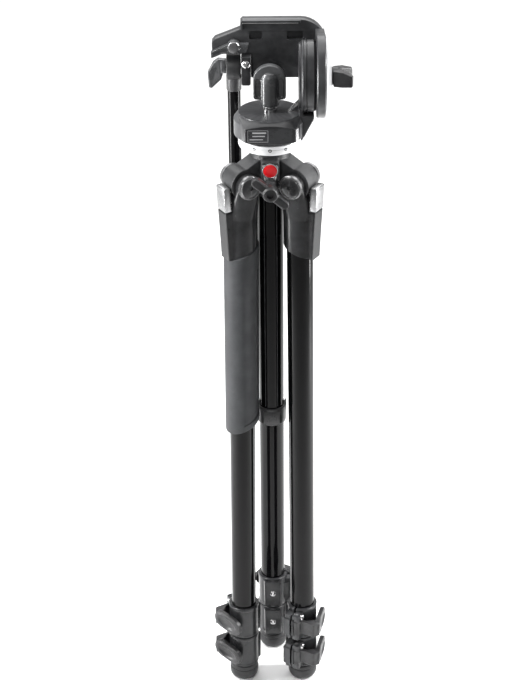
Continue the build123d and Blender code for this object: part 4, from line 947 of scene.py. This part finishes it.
@dataclass
class Column(AxisAssembly):
    """The centre column with its end cap and the disc that the head stands on.

    Args:
        foot: Foot of the end cap.
        top: Top of the bright disc.
        disc_r: Radius of the disc.
    """

    foot: float = 318.0
    top: float = 630.0
    disc_r: float = 30.0

    def end_cap(self) -> Solid:
        """The cap: a cup with two ears on its rim and a flat front."""
        z = self.foot
        cup = Solid.turning([(0, z), (12.6, z), (14.4, z + 1.4), (15, z + 3.2), (15, z + 19.6),
                             (14.2, z + 20.4), (12.6, z + 20.4), (12.6, z + 4), (0, z + 4)])
        flat = Solid.prism([(-8.2, -15.0, 0.6), (8.2, -15.0, 0.6), (8.2, -12.7), (-8.2, -12.7)],
                           z + 3.4, z + 18.4).bevel(0.4, 2)
        cup.join(flat)
        for side in (1, -1):
            ear = Solid.prism([(side * 12.7, z + 14), (side * 14.7, z + 14),
                               (side * 14.9, z + 24.6), (side * 13.4, z + 22)], -4.5, 4.5,
                              Facing.BACK).bevel(0.3, 2)
            cup.join(ear)
        return cup

    def rails(self) -> Solid:
        """The two fine satin lines down the front of the column."""
        lines = Solid()
        for azimuth in (-119, -61):
            sector = [(radius * math.cos(a), radius * math.sin(a)) for radius, turns in
                      ((12.2, (-1.7, 0, 1.7)), (12.54, (1.7, 0, -1.7)))
                      for a in (math.radians(azimuth + t) for t in turns)]
            lines.join(Solid.prism(sector, 340.5, 618))
        return lines

    def disc(self) -> Solid:
        """The bright disc, with a groove under its rim."""
        z, r = self.top, self.disc_r
        return Solid.turning([
            (0, z - 6), (12.5, z - 6), (12.5, z - 9.5), (18.5, z - 9.5), (18.8, z - 8.0),
            (25.6, z - 7.3), (29.0, z - 5.6), (29.6, z - 4.6), (29.6, z - 4.2), (r, z - 3.8),
            (r, z - 0.6), (r - 0.5, z - 0.05), (0, z - 0.05)], steps=144)

    def set_screws(self) -> Solid:
        """The three dark screws in the disc's front rim."""
        screws = Solid()
        for azimuth in (-120, -90, -60):
            screw = Solid.turning([(0, 25), (1.8, 25), (1.8, 29.9), (1.4, 30.1), (0, 30.1)],
                                  Facing.RIGHT, (0, self.top - 0.6), 24)
            screw.cut(Solid.disc((0, self.top - 0.6), 0.9, 29.2, 32, Facing.RIGHT, 6))
            screws.join(screw.place(turned(azimuth)))
        return screws

    def rings(self) -> Solid:
        """The stepped rings between the bright disc and the head."""
        z = self.top
        return Solid.turning([(0, z), (29.6, z), (30.0, z + 0.5), (30.0, z + 3.0), (29.3, z + 3.5),
                              (28.0, z + 3.4), (22.0, z + 1.15), (12.0, z + 1.15), (12.0, z + 17),
                              (0, z + 17)], steps=144)

    def build(self) -> None:
        """Makes the column's pieces."""
        dress_node("column", TUBE)
        self.put(self.end_cap(), "column_foot_cap", "column", BLACK_PLASTIC, ["column_end_cap"])
        self.put(self.rails(), "column_lines", "column", HEAD_CASTING)
        self.put(self.disc(), "bright_disc", "column", ALUMINIUM, ["top_disc"])
        self.put(self.set_screws(), "disc_set_screws", "column", BLACK_PLASTIC)
        self.put(self.rings(), "pan_rings", "column", ALUMINIUM, ["pan_base"])


# ---------------------------------------------------------------- head
@dataclass
class PanHousing(AxisAssembly):
    """The turning housing under the head, its front label and the pan clamp knob.

    Args:
        foot: Underside of the housing.
        top: Top of the housing.
        radius: Its radius.
        front: Depth of its flat front.
        tilt_z: Height of the tilt axis.
        label_z: Height of the middle of the label.
    """

    foot: float = 631.6
    top: float = 658.0
    radius: float = 34.0
    front: float = 34.6
    tilt_z: float = 692.0
    label_z: float = 645.9

    def body(self) -> Solid:
        """The faceted body and the arm up to the tilt drum."""
        f, t, r = self.foot, self.top, self.radius
        round_part = Solid.turning([(0, f), (r - 1.4, f), (r, f + 1.4), (r, t - 6.4), (r - 4.6, t),
                                    (0, t)])
        front = Solid.prism([(-30, -11.3), (-23.5, -self.front, 2), (24.5, -self.front, 2),
                             (30, -11.3)], f, t - 0.2)
        arm = Solid.prism([(17, t - 14), (28, f), (30, f), (41.5, t - 3),
            (41.5, self.tilt_z - 33.9), (31.2, self.tilt_z - 33.9), (31.2, self.tilt_z),
            (27.2, self.tilt_z), (27.2, t - 2), (17, t - 2)], -15, 15, Facing.BACK).bevel(1.4, 3,
            50)
        flange = Solid.turning([(0, 27.2), (31.0, 27.2), (31.0, 28.6), (32.2, 29.2), (33.5, 30.6),
                                (33.5, 31.2), (0, 31.2)], Facing.RIGHT, (0, self.tilt_z), 144)
        bore = Solid.disc((0, 0), 12.06, f - 5, f + 15)
        stud = Solid.disc((0, 0), 3.06, t - 9, t + 5)
        z = self.label_z
        sunk = Solid.block((-21.5, z - 7), (20.5, z + 7), -40, 0.8 - self.front, Facing.BACK, 1.2)
        round_part.cut(bore, stud, self.under())
        front.cut(self.under(), self.over()).bevel(0.5, 2, 24)
        front.cut(bore, stud, sunk)
        return Solid().join(round_part, front, arm.cut(self.under()), flange)

    def under(self) -> Solid:
        """What the housing's conical underside leaves out, over the bright rings."""
        f = self.foot
        return Solid.turning([(22, f - 4), (60, f - 4), (60, f + 0.42 * 38), (22, f)])

    def over(self) -> Solid:
        """What the conical chamfer round the housing's top leaves out."""
        t = self.top
        return Solid.turning([(28.5, t), (60, t - 0.4 * 31.5), (60, t + 10), (28.5, t + 10)])

    def gusset(self) -> Solid:
        """The small brace between the housing's top and the arm, with its bright border."""
        t = self.top
        brace = Solid.prism([(16.0, t - 1), (28.2, t - 1), (28.2, t + 11.5)], -3, 3, Facing.BACK)
        brace.bevel(0.5, 2)
        dip = Solid.prism([(20.6, t + 0.8), (26.8, t + 0.8), (26.8, t + 7.0)], -6, -2.3,
            Facing.BACK)
        return brace.cut(dip)

    def gusset_face(self) -> Solid:
        """The dark sunk face of the brace."""
        t = self.top
        return Solid.prism([(20.65, t + 0.82), (26.78, t + 0.82), (26.78, t + 6.95)], -2.7, -2.25,
                           Facing.BACK)

    def label(self) -> Solid:
        """The sunk label's plate."""
        z = self.label_z
        return Solid.block((-21.4, z - 6.9), (20.4, z + 6.9), 0.3 - self.front, 0.85 - self.front,
            Facing.BACK, 1.2)

    def marks(self) -> Solid:
        """A thin border with three plain bars inside, in place of print."""
        z = self.label_z
        marks = Solid()
        for left, right, low, high in (
                (-16.2, -3.4, 2.6, 4.0), (-16.2, -4.6, -0.4, 0.6), (-18.8, -6.4, -3.6, -2.8),
                (-20.6, -1.6, 5.5, 5.8), (-20.6, -1.6, -5.8, -5.5), (-20.6, -20.3, -5.8, 5.8),
                (-1.9, -1.6, -5.8, 5.8)):
            bar = Solid.block((left, z + low), (right, z + high), 0.2 - self.front,
                0.32 - self.front, Facing.BACK)
            marks.join(bar)
        return marks

    def ridge(self) -> Solid:
        """The bright upright ridge at the right of the front."""
        ridge = Solid.prism([(21.6, -33.9), (22.6, -34.55, 0.3), (24.4, -34.5, 0.3), (26.6, -31.4),
                             (26.0, -30.6)], self.foot + 2.6, self.top - 2.6)
        return ridge.cut(self.under(), self.over())

    def ribs(self) -> Solid:
        """The fine ribs on the arm's slanted outside."""
        ribs = Solid()
        for i in range(14):
            y = -13 + i * 2
            rib = Solid.hull(
                Solid.disc((29.6, y), 0.55, self.foot + 1.4, self.foot + 1.8, sides=10),
                Solid.disc((40.6, y), 0.55, self.top - 4.6, self.top - 4.2, sides=10))
            ribs.join(rib)
        return ribs

    def knob(self) -> Solid:
        """The pan clamp: a barrel on bright rings with a paddle through it."""
        t = self.top
        barrel = Solid.turning([(0, t + 6), (8.4, t + 6), (8.6, t + 6.8), (8.6, t + 31),
            (8.0, t + 34.4), (6.2, t + 37.2), (3.4, t + 38.8), (0, t + 39)])
        paddle = Solid().join(
            Solid.disc((0, t + 30), 15.4, -4, 4, Facing.BACK, 96),
            Solid.prism([(-15.4, t + 12, 3), (15.4, t + 12, 3), (15.4, t + 30), (-15.4, t + 30)],
                        -4, 4, Facing.BACK))
        hollow = [Solid.hull(Solid.disc((s * 10.6, t + 30), 2.6, a, b, Facing.BACK, 32),
                             Solid.disc((s * 10.6, t + 17), 2.6, a, b, Facing.BACK, 32))
                  for s in (1, -1) for a, b in ((-9, -2.6), (2.6, 9))]
        paddle = paddle.cast(0.5, 2).cut(*hollow)
        return Solid().join(barrel, paddle).cast(0.5, 3)

    def neck(self) -> Solid:
        """The bright stepped rings under the pan clamp."""
        t = self.top
        return Solid.turning([(0, t - 8.8), (2.95, t - 8.8), (2.95, t + 0.2), (6.4, t + 0.2),
                              (6.4, t + 2.6), (5.6, t + 3.2), (5.2, t + 3.4), (5.2, t + 4.6),
                              (7.2, t + 5.0), (8.0, t + 5.6), (8.0, t + 6.6), (0, t + 6.6)])

    def build(self) -> None:
        """Makes the housing's pieces."""
        self.put(self.body(), "pan_body", "pan", HEAD_CASTING, ["pan_housing"])
        self.put(self.gusset(), "arm_brace", "pan", STEEL)
        self.put(self.gusset_face(), "arm_brace_face", "pan", HEAD_CASTING)
        self.put(self.label(), "front_label", "pan", LABEL, ["label_plate"])
        self.put(self.marks(), "front_label_marks", "pan", LABEL_MARK)
        self.put(self.ridge(), "front_ridge", "pan", SATIN_STEEL)
        self.put(self.ribs(), "arm_ribs", "pan", HEAD_CASTING)
        self.put(self.knob(), "pan_clamp_knob", "pan_knob", GREY_PLASTIC, ["pan_knob"], 60)
        self.put(self.neck(), "pan_clamp_rings", "pan_knob", STEEL)


@dataclass
class TiltHead(AxisAssembly):
    """The tilt drum, the platform with its camera plate and levers, and the tilt clamp.

    Args:
        axis_z: Height of the tilt axis.
        plate_top: Upper end of the platform when folded.
        front: Face of the platform that looks forward when folded.
        back: Its other face, that carries the camera.
    """

    axis_z: float = 692.0
    plate_top: float = 731.5
    front: float = 44.0
    back: float = 56.0

    def drum(self) -> Solid:
        """The drum's stepped bands."""
        return Solid.turning([
            (0, 31.2), (32.6, 31.2), (33.5, 32.0), (33.5, 33.6), (32.9, 34.0), (32.9, 34.5),
            (33.5, 34.9), (33.5, 40.8), (32.7, 41.4), (31.8, 43.0), (6, 43.0), (6, 51.9), (0, 51.9),
        ], Facing.RIGHT, (0, self.axis_z), 160)

    def platform(self) -> Solid:
        """The platform casting, its cheek at the drum and its rim."""
        top, z, f, b = self.plate_top, self.axis_z, self.front, self.back
        plate = Solid.prism([
            (-25.2, top), (-27.2, top - 2), (-27.2, top - 9), (-41.2, top - 14.5),
            (-51.5, top - 18.5, 3), (-54.5, top - 22), (-54.5, z + 5.8, 1), (-17.6, z + 5.8),
            (-17.6, z - 18), (53.6, z - 18, 1), (53.6, top, 24)], f, b, Facing.BACK)
        cheek_disc = Solid.turning([(0, 43.4), (38.0, 43.4), (39.0, 44.4), (39.0, 51.0),
            (38.2, 52.0), (0, 52.0)], Facing.RIGHT, (0, z), 144)
        web = Solid.prism([(0, z + 39), (45, top - 9), (45, z - 22), (18, z - 32), (0, z)],
                          43.4, 52, Facing.RIGHT).bevel(0.8, 2, 50)
        rim = Solid.prism([(29.6, top), (-25.2, top), (-27.2, top - 2), (-27.2, top - 9),
                           (-24.8, top - 9), (-24.8, top - 2.4), (29.6, top - 2.4)],
                          f - 2.4, f + 0.5, Facing.BACK).bevel(0.4, 2, 50)
        tools = [Solid.block((l, top - 19), (r, top - 11), f - 5, f + 4, Facing.BACK, 1) for l,
            r in ((-19.0, -6.8), (16.8, 32.0))]
        seat = Solid.block((-16.2, z - 12.2), (26.2, z + 36.2), b - 4, b + 9, Facing.BACK, 2.2)
        axle = Solid.disc((0, z), 6.06, 40, 55, Facing.RIGHT)
        plate.bevel(0.9, 2, 50).cut(*tools, seat)
        return Solid().join(plate, cheek_disc.cut(axle), web.cut(axle), rim)

    def painted_rim_highlight(self) -> Solid:
        """A thin bright strip along the rim's upper edge: a painted highlight."""
        top, f = self.plate_top, self.front
        return Solid.block((27.6, top - 2.2), (-24.9, top - 2.9), f - 2.45, f - 0.2,
            Facing.BACK).bevel(0.15, 1)

    def cap(self) -> Solid:
        """The pale shallow cone outside the cheek."""
        return Solid.turning([(3.1, 52), (36, 52), (36, 52.6), (35.2, 53.2), (26, 55.1), (18, 56.6),
                              (11.4, 57.6), (10.4, 57.75), (3.1, 57.75)],
                             Facing.RIGHT, (0, self.axis_z), 144)

    def knob(self) -> Solid:
        """The tilt clamp: a round foot and two wings that open towards the tip."""
        z = self.axis_z
        foot = Solid.turning([(0, 58.0), (8.5, 58.0), (8.5, 63.4), (7.4, 65), (0, 65)],
                             Facing.RIGHT, (0, z))
        parts = [foot]
        for side in (-1, 1):
            wing = Solid.prism([(59.3, side * 3), (65.8, side * 0.5), (77.8, side * 10),
                                (76.4, side * 14.2), (59.3, side * 8.2)], z - 8.5, z + 8.5)
            mask = Solid.prism([(50, z + 22), (78.5, z + 22), (78.5, z + 3.2), (68, z + 6.6),
                                (50, z + 7.2)], -30, 30, Facing.BACK)
            mask_low = Solid.prism([(50, z - 22), (78.5, z - 22), (78.5, z - 6.6), (68, z - 8.0),
                                    (50, z - 8.2)], -30, 30, Facing.BACK)
            parts.append(wing.cut(mask, mask_low))
        return Solid().join(*parts).cast(0.5, 3)

    def stud(self) -> Solid:
        """The stud of the tilt clamp, where it shows between cap and knob."""
        return Solid.turning([(0, 52.3), (2.95, 52.3), (2.95, 58.4), (0, 58.4)],
                             Facing.RIGHT, (0, self.axis_z), 40)

    def camera_plate(self) -> Solid:
        """The camera plate with its pad edge and bevels."""
        z, b = self.axis_z + 12, self.back
        plate = Solid.block((-16, z - 24), (26, z + 24), b - 3.8, b + 7.6, Facing.BACK,
            2).bevel(0.7, 2, 50)
        hole = Solid.disc((5, z), 3.3, b - 10, b + 20, Facing.BACK)
        pocket = Solid.disc((5, z), 8.25, b - 10, b - 0.4, Facing.BACK)
        return plate.cut(hole, pocket)

    def camera_pad(self) -> Solid:
        """The ribbed rubber pad that the camera stands on."""
        z, b = self.axis_z + 12, self.back
        pad = Solid.block((-14.6, z - 22.6), (24.6, z + 22.6), b + 7.5, b + 8.95, Facing.BACK, 1.4)
        pad.cut(Solid.disc((5, z), 5.2, b, b + 20, Facing.BACK))
        for i in range(9):
            low = z - 20.5 + i * 4.7
            pad.cut(Solid.block((-20, low), (30, low + 1.2), b + 8.4, b + 12, Facing.BACK))
        return pad

    def camera_screw(self) -> Solid:
        """The camera screw: slotted head, narrow neck and a threaded end."""
        z, b = self.axis_z + 12, self.back
        thread: list[Point] = []
        for i in range(5):
            y = b + 9.4 + i * 0.9
            thread += [(2.75, y), (3.15, y + 0.4)]
        head = Solid.turning([(0, b - 3.6), (7.4, b - 3.6), (8.0, b - 3.1), (8.0, b - 0.9),
                              (2.4, b - 0.9), (2.4, b + 9.2), *thread, (2.75, b + 13.6),
                              (2.2, b + 13.95), (0, b + 13.95)], Facing.BACK, (5, z), 64)
        slot = Solid.block((-2, z - 0.8), (12, z + 0.8), b - 6, b - 2.6, Facing.BACK)
        return head.cut(slot)

    def release_lever(self) -> Solid:
        """The curved release lever with raised edges."""
        z, f = self.axis_z + 15, self.front
        upper = [(-19.5, 2.5), (-26, 3.1), (-33.5, 3.2), (-40, 1.9), (-46.5, -0.8), (-51.5, -3.3),
                 (-55.5, -5.5)]
        lower = [(-55.0, -11.0), (-50, -9.0), (-45.5, -7.0), (-40, -5.9), (-33.5, -5.6),
            (-22, -5.6)]
        blade = Solid.prism([(x, z + h) for x, h in (*upper, *lower)], f - 6.5, f - 0.3,
            Facing.BACK)
        hub = Solid.disc((-33.5, z), 6.4, f - 6.6, f - 0.3, Facing.BACK)
        trough = Solid.prism([(x - 1.2, z + h - 1.5) for x, h in upper[3:]]
                             + [(x + 0.6, z + h + 1.5) for x, h in lower[:4]],
                             f - 9, f - 5.2, Facing.BACK)
        blade.cut(trough)
        return Solid().join(blade.bevel(0.5, 2, 40), hub.bevel(0.6, 2, 50))

    def lever_cap(self) -> Solid:
        """The domed head on the release lever's pivot."""
        z, f = self.axis_z + 15, self.front
        return Solid.turning([(0, f + 5.9), (2.45, f + 5.9), (2.45, f - 6.4), (5.8, f - 6.7),
                              (5.8, f - 7.6), (5.0, f - 8.6), (3.0, f - 9.1), (0, f - 9.2)],
                             Facing.BACK, (-33.5, z), 64)

    def socket(self) -> Solid:
        """The block that the pan bar's hinge sits in."""
        z = self.axis_z
        block = Solid.prism([(-26.9, z - 23.4, 2), (-17.8, z - 23.4, 2), (-17.8, z + 5.6),
                             (-26.9, z + 5.6, 2)], 36.7, 64.4, Facing.BACK).bevel(0.8, 3, 50)
        return block.cut(Solid.disc((56, z - 10), 3.1, -30, -16.9, Facing.RIGHT))

    def socket_screw(self) -> Solid:
        """The cross-head screw in the block's front."""
        z = self.axis_z - 2
        head = Solid.turning([(0, 36.9), (3.9, 36.9), (3.8, 36.3), (2.9, 35.4), (1.4, 34.9),
            (0, 34.8)], Facing.BACK, (-22.4, z), 48)
        for tilt in (35, 125):
            slot = Solid.block((-2.6, -0.45), (2.6, 0.45), 33, 35.9)
            slot.place(turned(tilt)).place(moved(-22.4, z)).place(Facing.BACK.value)
            head.cut(slot)
        return head

    def build(self) -> None:
        """Makes the tilt head's pieces."""
        self.put(self.drum(), "tilt_drum_bands", "pan", HEAD_CASTING, ["tilt_drum"])
        self.put(self.platform(), "platform_casting", "tilt", HEAD_CASTING, ["platform"])
        # Painted highlight: a bright steel strip on the rim's upper edge.
        self.put(self.painted_rim_highlight(), "platform_edge_highlight", "tilt", STEEL)
        self.put(self.cap(), "tilt_side_cap", "tilt", CAP, ["tilt_cap"])
        self.put(self.knob(), "tilt_clamp_knob", "tilt_knob", BLACK_PLASTIC, ["tilt_knob"], 60)
        self.put(self.stud(), "tilt_clamp_stud", "tilt_knob", STEEL)
        self.put(self.camera_plate(), "quick_plate", "camera_plate", BLACK_PLASTIC,
            ["camera_plate"])
        self.put(self.camera_pad(), "quick_plate_pad", "camera_plate", RUBBER)
        self.put(self.camera_screw(), "quick_plate_screw", "camera_screw", STEEL, ["camera_screw"])
        self.put(self.release_lever(), "plate_release_lever", "release_lever", GREY_PLASTIC,
                 ["release_lever"])
        self.put(self.lever_cap(), "release_pivot_cap", "tilt", SATIN_STEEL, ["lever_pivot"])
        self.put(self.socket(), "bar_hinge_block", "tilt", HEAD_CASTING, ["bar_socket"])
        self.put(self.socket_screw(), "bar_block_screw", "tilt", STEEL)


@dataclass
class PanBar(AxisAssembly):
    """The pan bar with its grip and thumb wing.

    Args:
        x: The bar's place across.
        y: Its depth.
        hinge_z: Height of its hinge.
        foot: Its lower end.
    """

    x: float = -34.4
    y: float = 56.0
    hinge_z: float = 682.0
    foot: float = 404.0

    def grip(self) -> Solid:
        """The soft grip with ring grooves at both ends."""
        z = self.foot - 4
        profile = [(6.42, z + 4), (6.42, z + 108), (8.6, z + 108), (10.2, z + 106.8),
            (11, z + 104.6)]
        for height in (100.0, 96.5, 93.0):
            profile += [(11, z + height), (10.3, z + height - 0.5), (10.3, z + height - 1.3),
                        (11, z + height - 1.8)]
        for height in (16.0, 12.5, 9.0):
            profile += [(11, z + height), (10.3, z + height - 0.5), (10.3, z + height - 1.3),
                        (11, z + height - 1.8)]
        profile += [(11, z + 3.2), (9.9, z + 1.0), (7.6, z), (0.0, z)]
        profile.insert(0, (0.0, z + 4))
        return Solid.turning(profile, Facing.UP, (self.x, self.y))

    def collar(self) -> Solid:
        """The dark sleeve where the bar enters its eye."""
        z = self.hinge_z
        return Solid.turning([(6.42, z - 24), (7.0, z - 24), (7.4, z - 23.2), (7.4, z - 9.4),
                              (6.42, z - 9.4)], Facing.UP, (self.x, self.y))

    def wing(self) -> Solid:
        """The thumb wing, a ribbed leaf that hangs from its hub."""
        z, left = self.hinge_z, self.x - 7.0
        hub = Solid.turning([(0, left - 0.3), (7.2, left - 0.3), (7.5, left - 1), (7.5, left - 4.6),
                             (6.6, left - 5.2), (0, left - 5.2)], Facing.RIGHT, (self.y, z))
        leaf = Solid.prism([(left - 2.5, z + 7.0), (left - 8, z + 7.5, 2), (-54, z + 4, 2),
                            (-59.5, z - 6, 4), (-58.5, z - 21, 1.2), (-55.5, z - 21.5, 1.2),
                            (-46.5, z - 13, 2), (left - 2.5, z - 5)], self.y - 3.9, self.y + 3.9,
                           Facing.BACK).bevel(1.2, 3, 40)
        for i in range(6):
            s = i / 5
            groove = Solid.disc((-55.6 + 6.8 * s, z - 18.8 + 7.6 * s), 0.6, self.y - 9,
                                self.y - 3.3, Facing.BACK, 12)
            leaf.cut(groove)
        return Solid().join(hub, leaf)

    def knuckle(self) -> Solid:
        """The grained round block about the hinge."""
        return Solid.disc((self.y, self.hinge_z), 13.2, -41.2, -27.6, Facing.RIGHT).bevel(1.0, 3,
            50)

    def stud(self) -> Solid:
        """The bolt that the wing turns on."""
        return Solid.turning([(0, -18.6), (2.95, -18.6), (2.95, -42.2), (0, -42.2)],
                             Facing.RIGHT, (self.y, self.hinge_z), 40)

    def build(self) -> None:
        """Makes the pan bar's pieces."""
        dress_node("pan_bar", TUBE)
        self.put(self.grip(), "bar_soft_grip", "pan_bar", GRIP_RUBBER, ["bar_grip"])
        self.put(self.collar(), "bar_sleeve", "pan_bar", BLACK_PLASTIC)
        self.put(self.knuckle(), "bar_knuckle", "pan_bar", HUB_CASTING)
        self.put(self.wing(), "bar_thumb_wing", "bar_knob", GREY_PLASTIC, ["bar_knob"])
        self.put(self.stud(), "bar_hinge_bolt", "bar_knob", STEEL)


HEAD_ASSEMBLIES = (Spider, Column, PanHousing, TiltHead, PanBar)


# ---------------------------------------------------------------- studio
@dataclass
class Studio:
    """The floor, the lights and the camera.

    Args:
        eye: The camera's place from the column's foot, in metres.
        pitch: How far the camera looks down, in degrees.
        roll: How far it is turned about its own view, in degrees.
        lens: Its focal length, in millimetres.
        shift: Its small shifts across and up.
    """

    eye: tuple[float, float, float] = (0.0, -1.55435, 1.27057)
    pitch: float = 29.05
    roll: float = -0.39
    lens: float = 93.4
    shift: Point = (-0.0122, 0.0059)

    def floor(self) -> None:
        """A wide pale floor, with painted shade that greys it towards the camera."""
        bm = bmesh.new()
        bmesh.ops.create_grid(bm, x_segments=2, y_segments=2, size=4.0)
        mesh = bpy.data.meshes.new("studio_floor")
        bm.to_mesh(mesh)
        bm.free()
        floor = bpy.data.objects.new("studio_floor", mesh)
        bpy.context.scene.collection.objects.link(floor)
        material = bpy.data.materials.new("studio_paper")
        nodes = NodeMaker(material)
        spot = nodes.make("ShaderNodeTexCoord", out="Object")
        fleck = nodes.make("ShaderNodeTexNoise", None, {"Vector": spot, "Scale": 3.0}, out="Fac")
        # Painted shade: the paper fades to mid grey towards the camera.
        depth = nodes.make("ShaderNodeSeparateXYZ", None, {"Vector": spot}, out="Y").band(-1.1,
            -0.15)
        paper = nodes.mix(fleck, (0.9, 0.9, 0.9), (0.92, 0.92, 0.92))
        shader = nodes.make("ShaderNodeBsdfPrincipled", None,
                            {"Base Color": nodes.mix(depth, (0.5, 0.5, 0.5), paper),
                             "Roughness": 0.9, "Specular IOR Level": 0.0})
        nodes.tree.links.new(shader.socket, nodes.output.inputs["Surface"])
        mesh.materials.append(material)

    def light(self, name: str, spot: tuple[float, float, float], size: Point, power: float,
              target: tuple[float, float, float] = (0.0, 0.0, 0.35)) -> None:
        """Adds a soft rectangular light.

        Args:
            name: The light's name.
            spot: Its place from the column's foot, in metres.
            size: Its width and height.
            power: Its power in watts.
            target: The point that it faces.
        """
        lamp = bpy.data.lights.new(name, "AREA")
        lamp.shape = "RECTANGLE"
        lamp.size, lamp.size_y = size
        lamp.energy = power
        holder = bpy.data.objects.new(name, lamp)
        aim = Vector(target) - Vector(spot)
        turn = aim.to_track_quat("-Z", "Y").to_matrix().to_4x4()
        holder.matrix_world = Matrix.Translation(Vector(spot) + Vector(AXIS)) @ turn
        bpy.context.scene.collection.objects.link(holder)

    def lights(self) -> None:
        """A wide light overhead, two tall strips, a small front light and an even surround."""
        self.light("overhead_light", (0.0, 1.1, 2.1), (3.0, 2.6), 80.0, (0.0, 0.5, 0.0))
        self.light("left_strip_light", (-0.72, -0.1, 0.68), (0.11, 1.3), 21.0, (0.0, 0.0, 0.45))
        self.light("right_strip_light", (0.72, 0.02, 0.68), (0.1, 1.3), 19.0, (0.0, 0.0, 0.45))
        self.light("front_light", (-0.5, -1.5, 1.5), (0.5, 0.5), 9.0)
        world = bpy.data.worlds.new("studio_surround")
        bpy.context.scene.world = world
        world.use_nodes = True
        ground = world.node_tree.nodes["Background"]
        ground.inputs["Color"].default_value = (1.0, 1.0, 1.0, 1.0)
        ground.inputs["Strength"].default_value = 0.36

    def camera(self) -> None:
        """The camera in front, above and looking down."""
        data = bpy.data.cameras.new("main_camera")
        data.lens = self.lens
        data.sensor_width = 36.0
        data.shift_x, data.shift_y = self.shift
        data.clip_end = 50.0
        camera = bpy.data.objects.new("main_camera", data)
        bpy.context.scene.collection.objects.link(camera)
        camera.matrix_world = (Matrix.Translation(Vector(AXIS) + Vector(self.eye))
                               @ turned(90 - self.pitch, "X") @ turned(self.roll, "Z"))
        bpy.context.scene.camera = camera

    def build(self) -> None:
        """Sets the whole studio up."""
        self.camera()
        self.floor()
        self.lights()
        view = bpy.context.scene.view_settings
        view.view_transform = "Standard"
        view.look = "None"


def main() -> None:
    """Builds the tripod from its feet to its head and reports each piece."""
    logging.basicConfig(level=logging.INFO, format="%(name)s: %(message)s")
    Studio().build()
    shapes = LegShapes()
    for name in ("left", "right", "rear"):
        Leg(name, shapes, has_grip=name == "left").build()
    for assembly in HEAD_ASSEMBLIES:
        assembly().build()


if __name__ == "__main__":
    main()
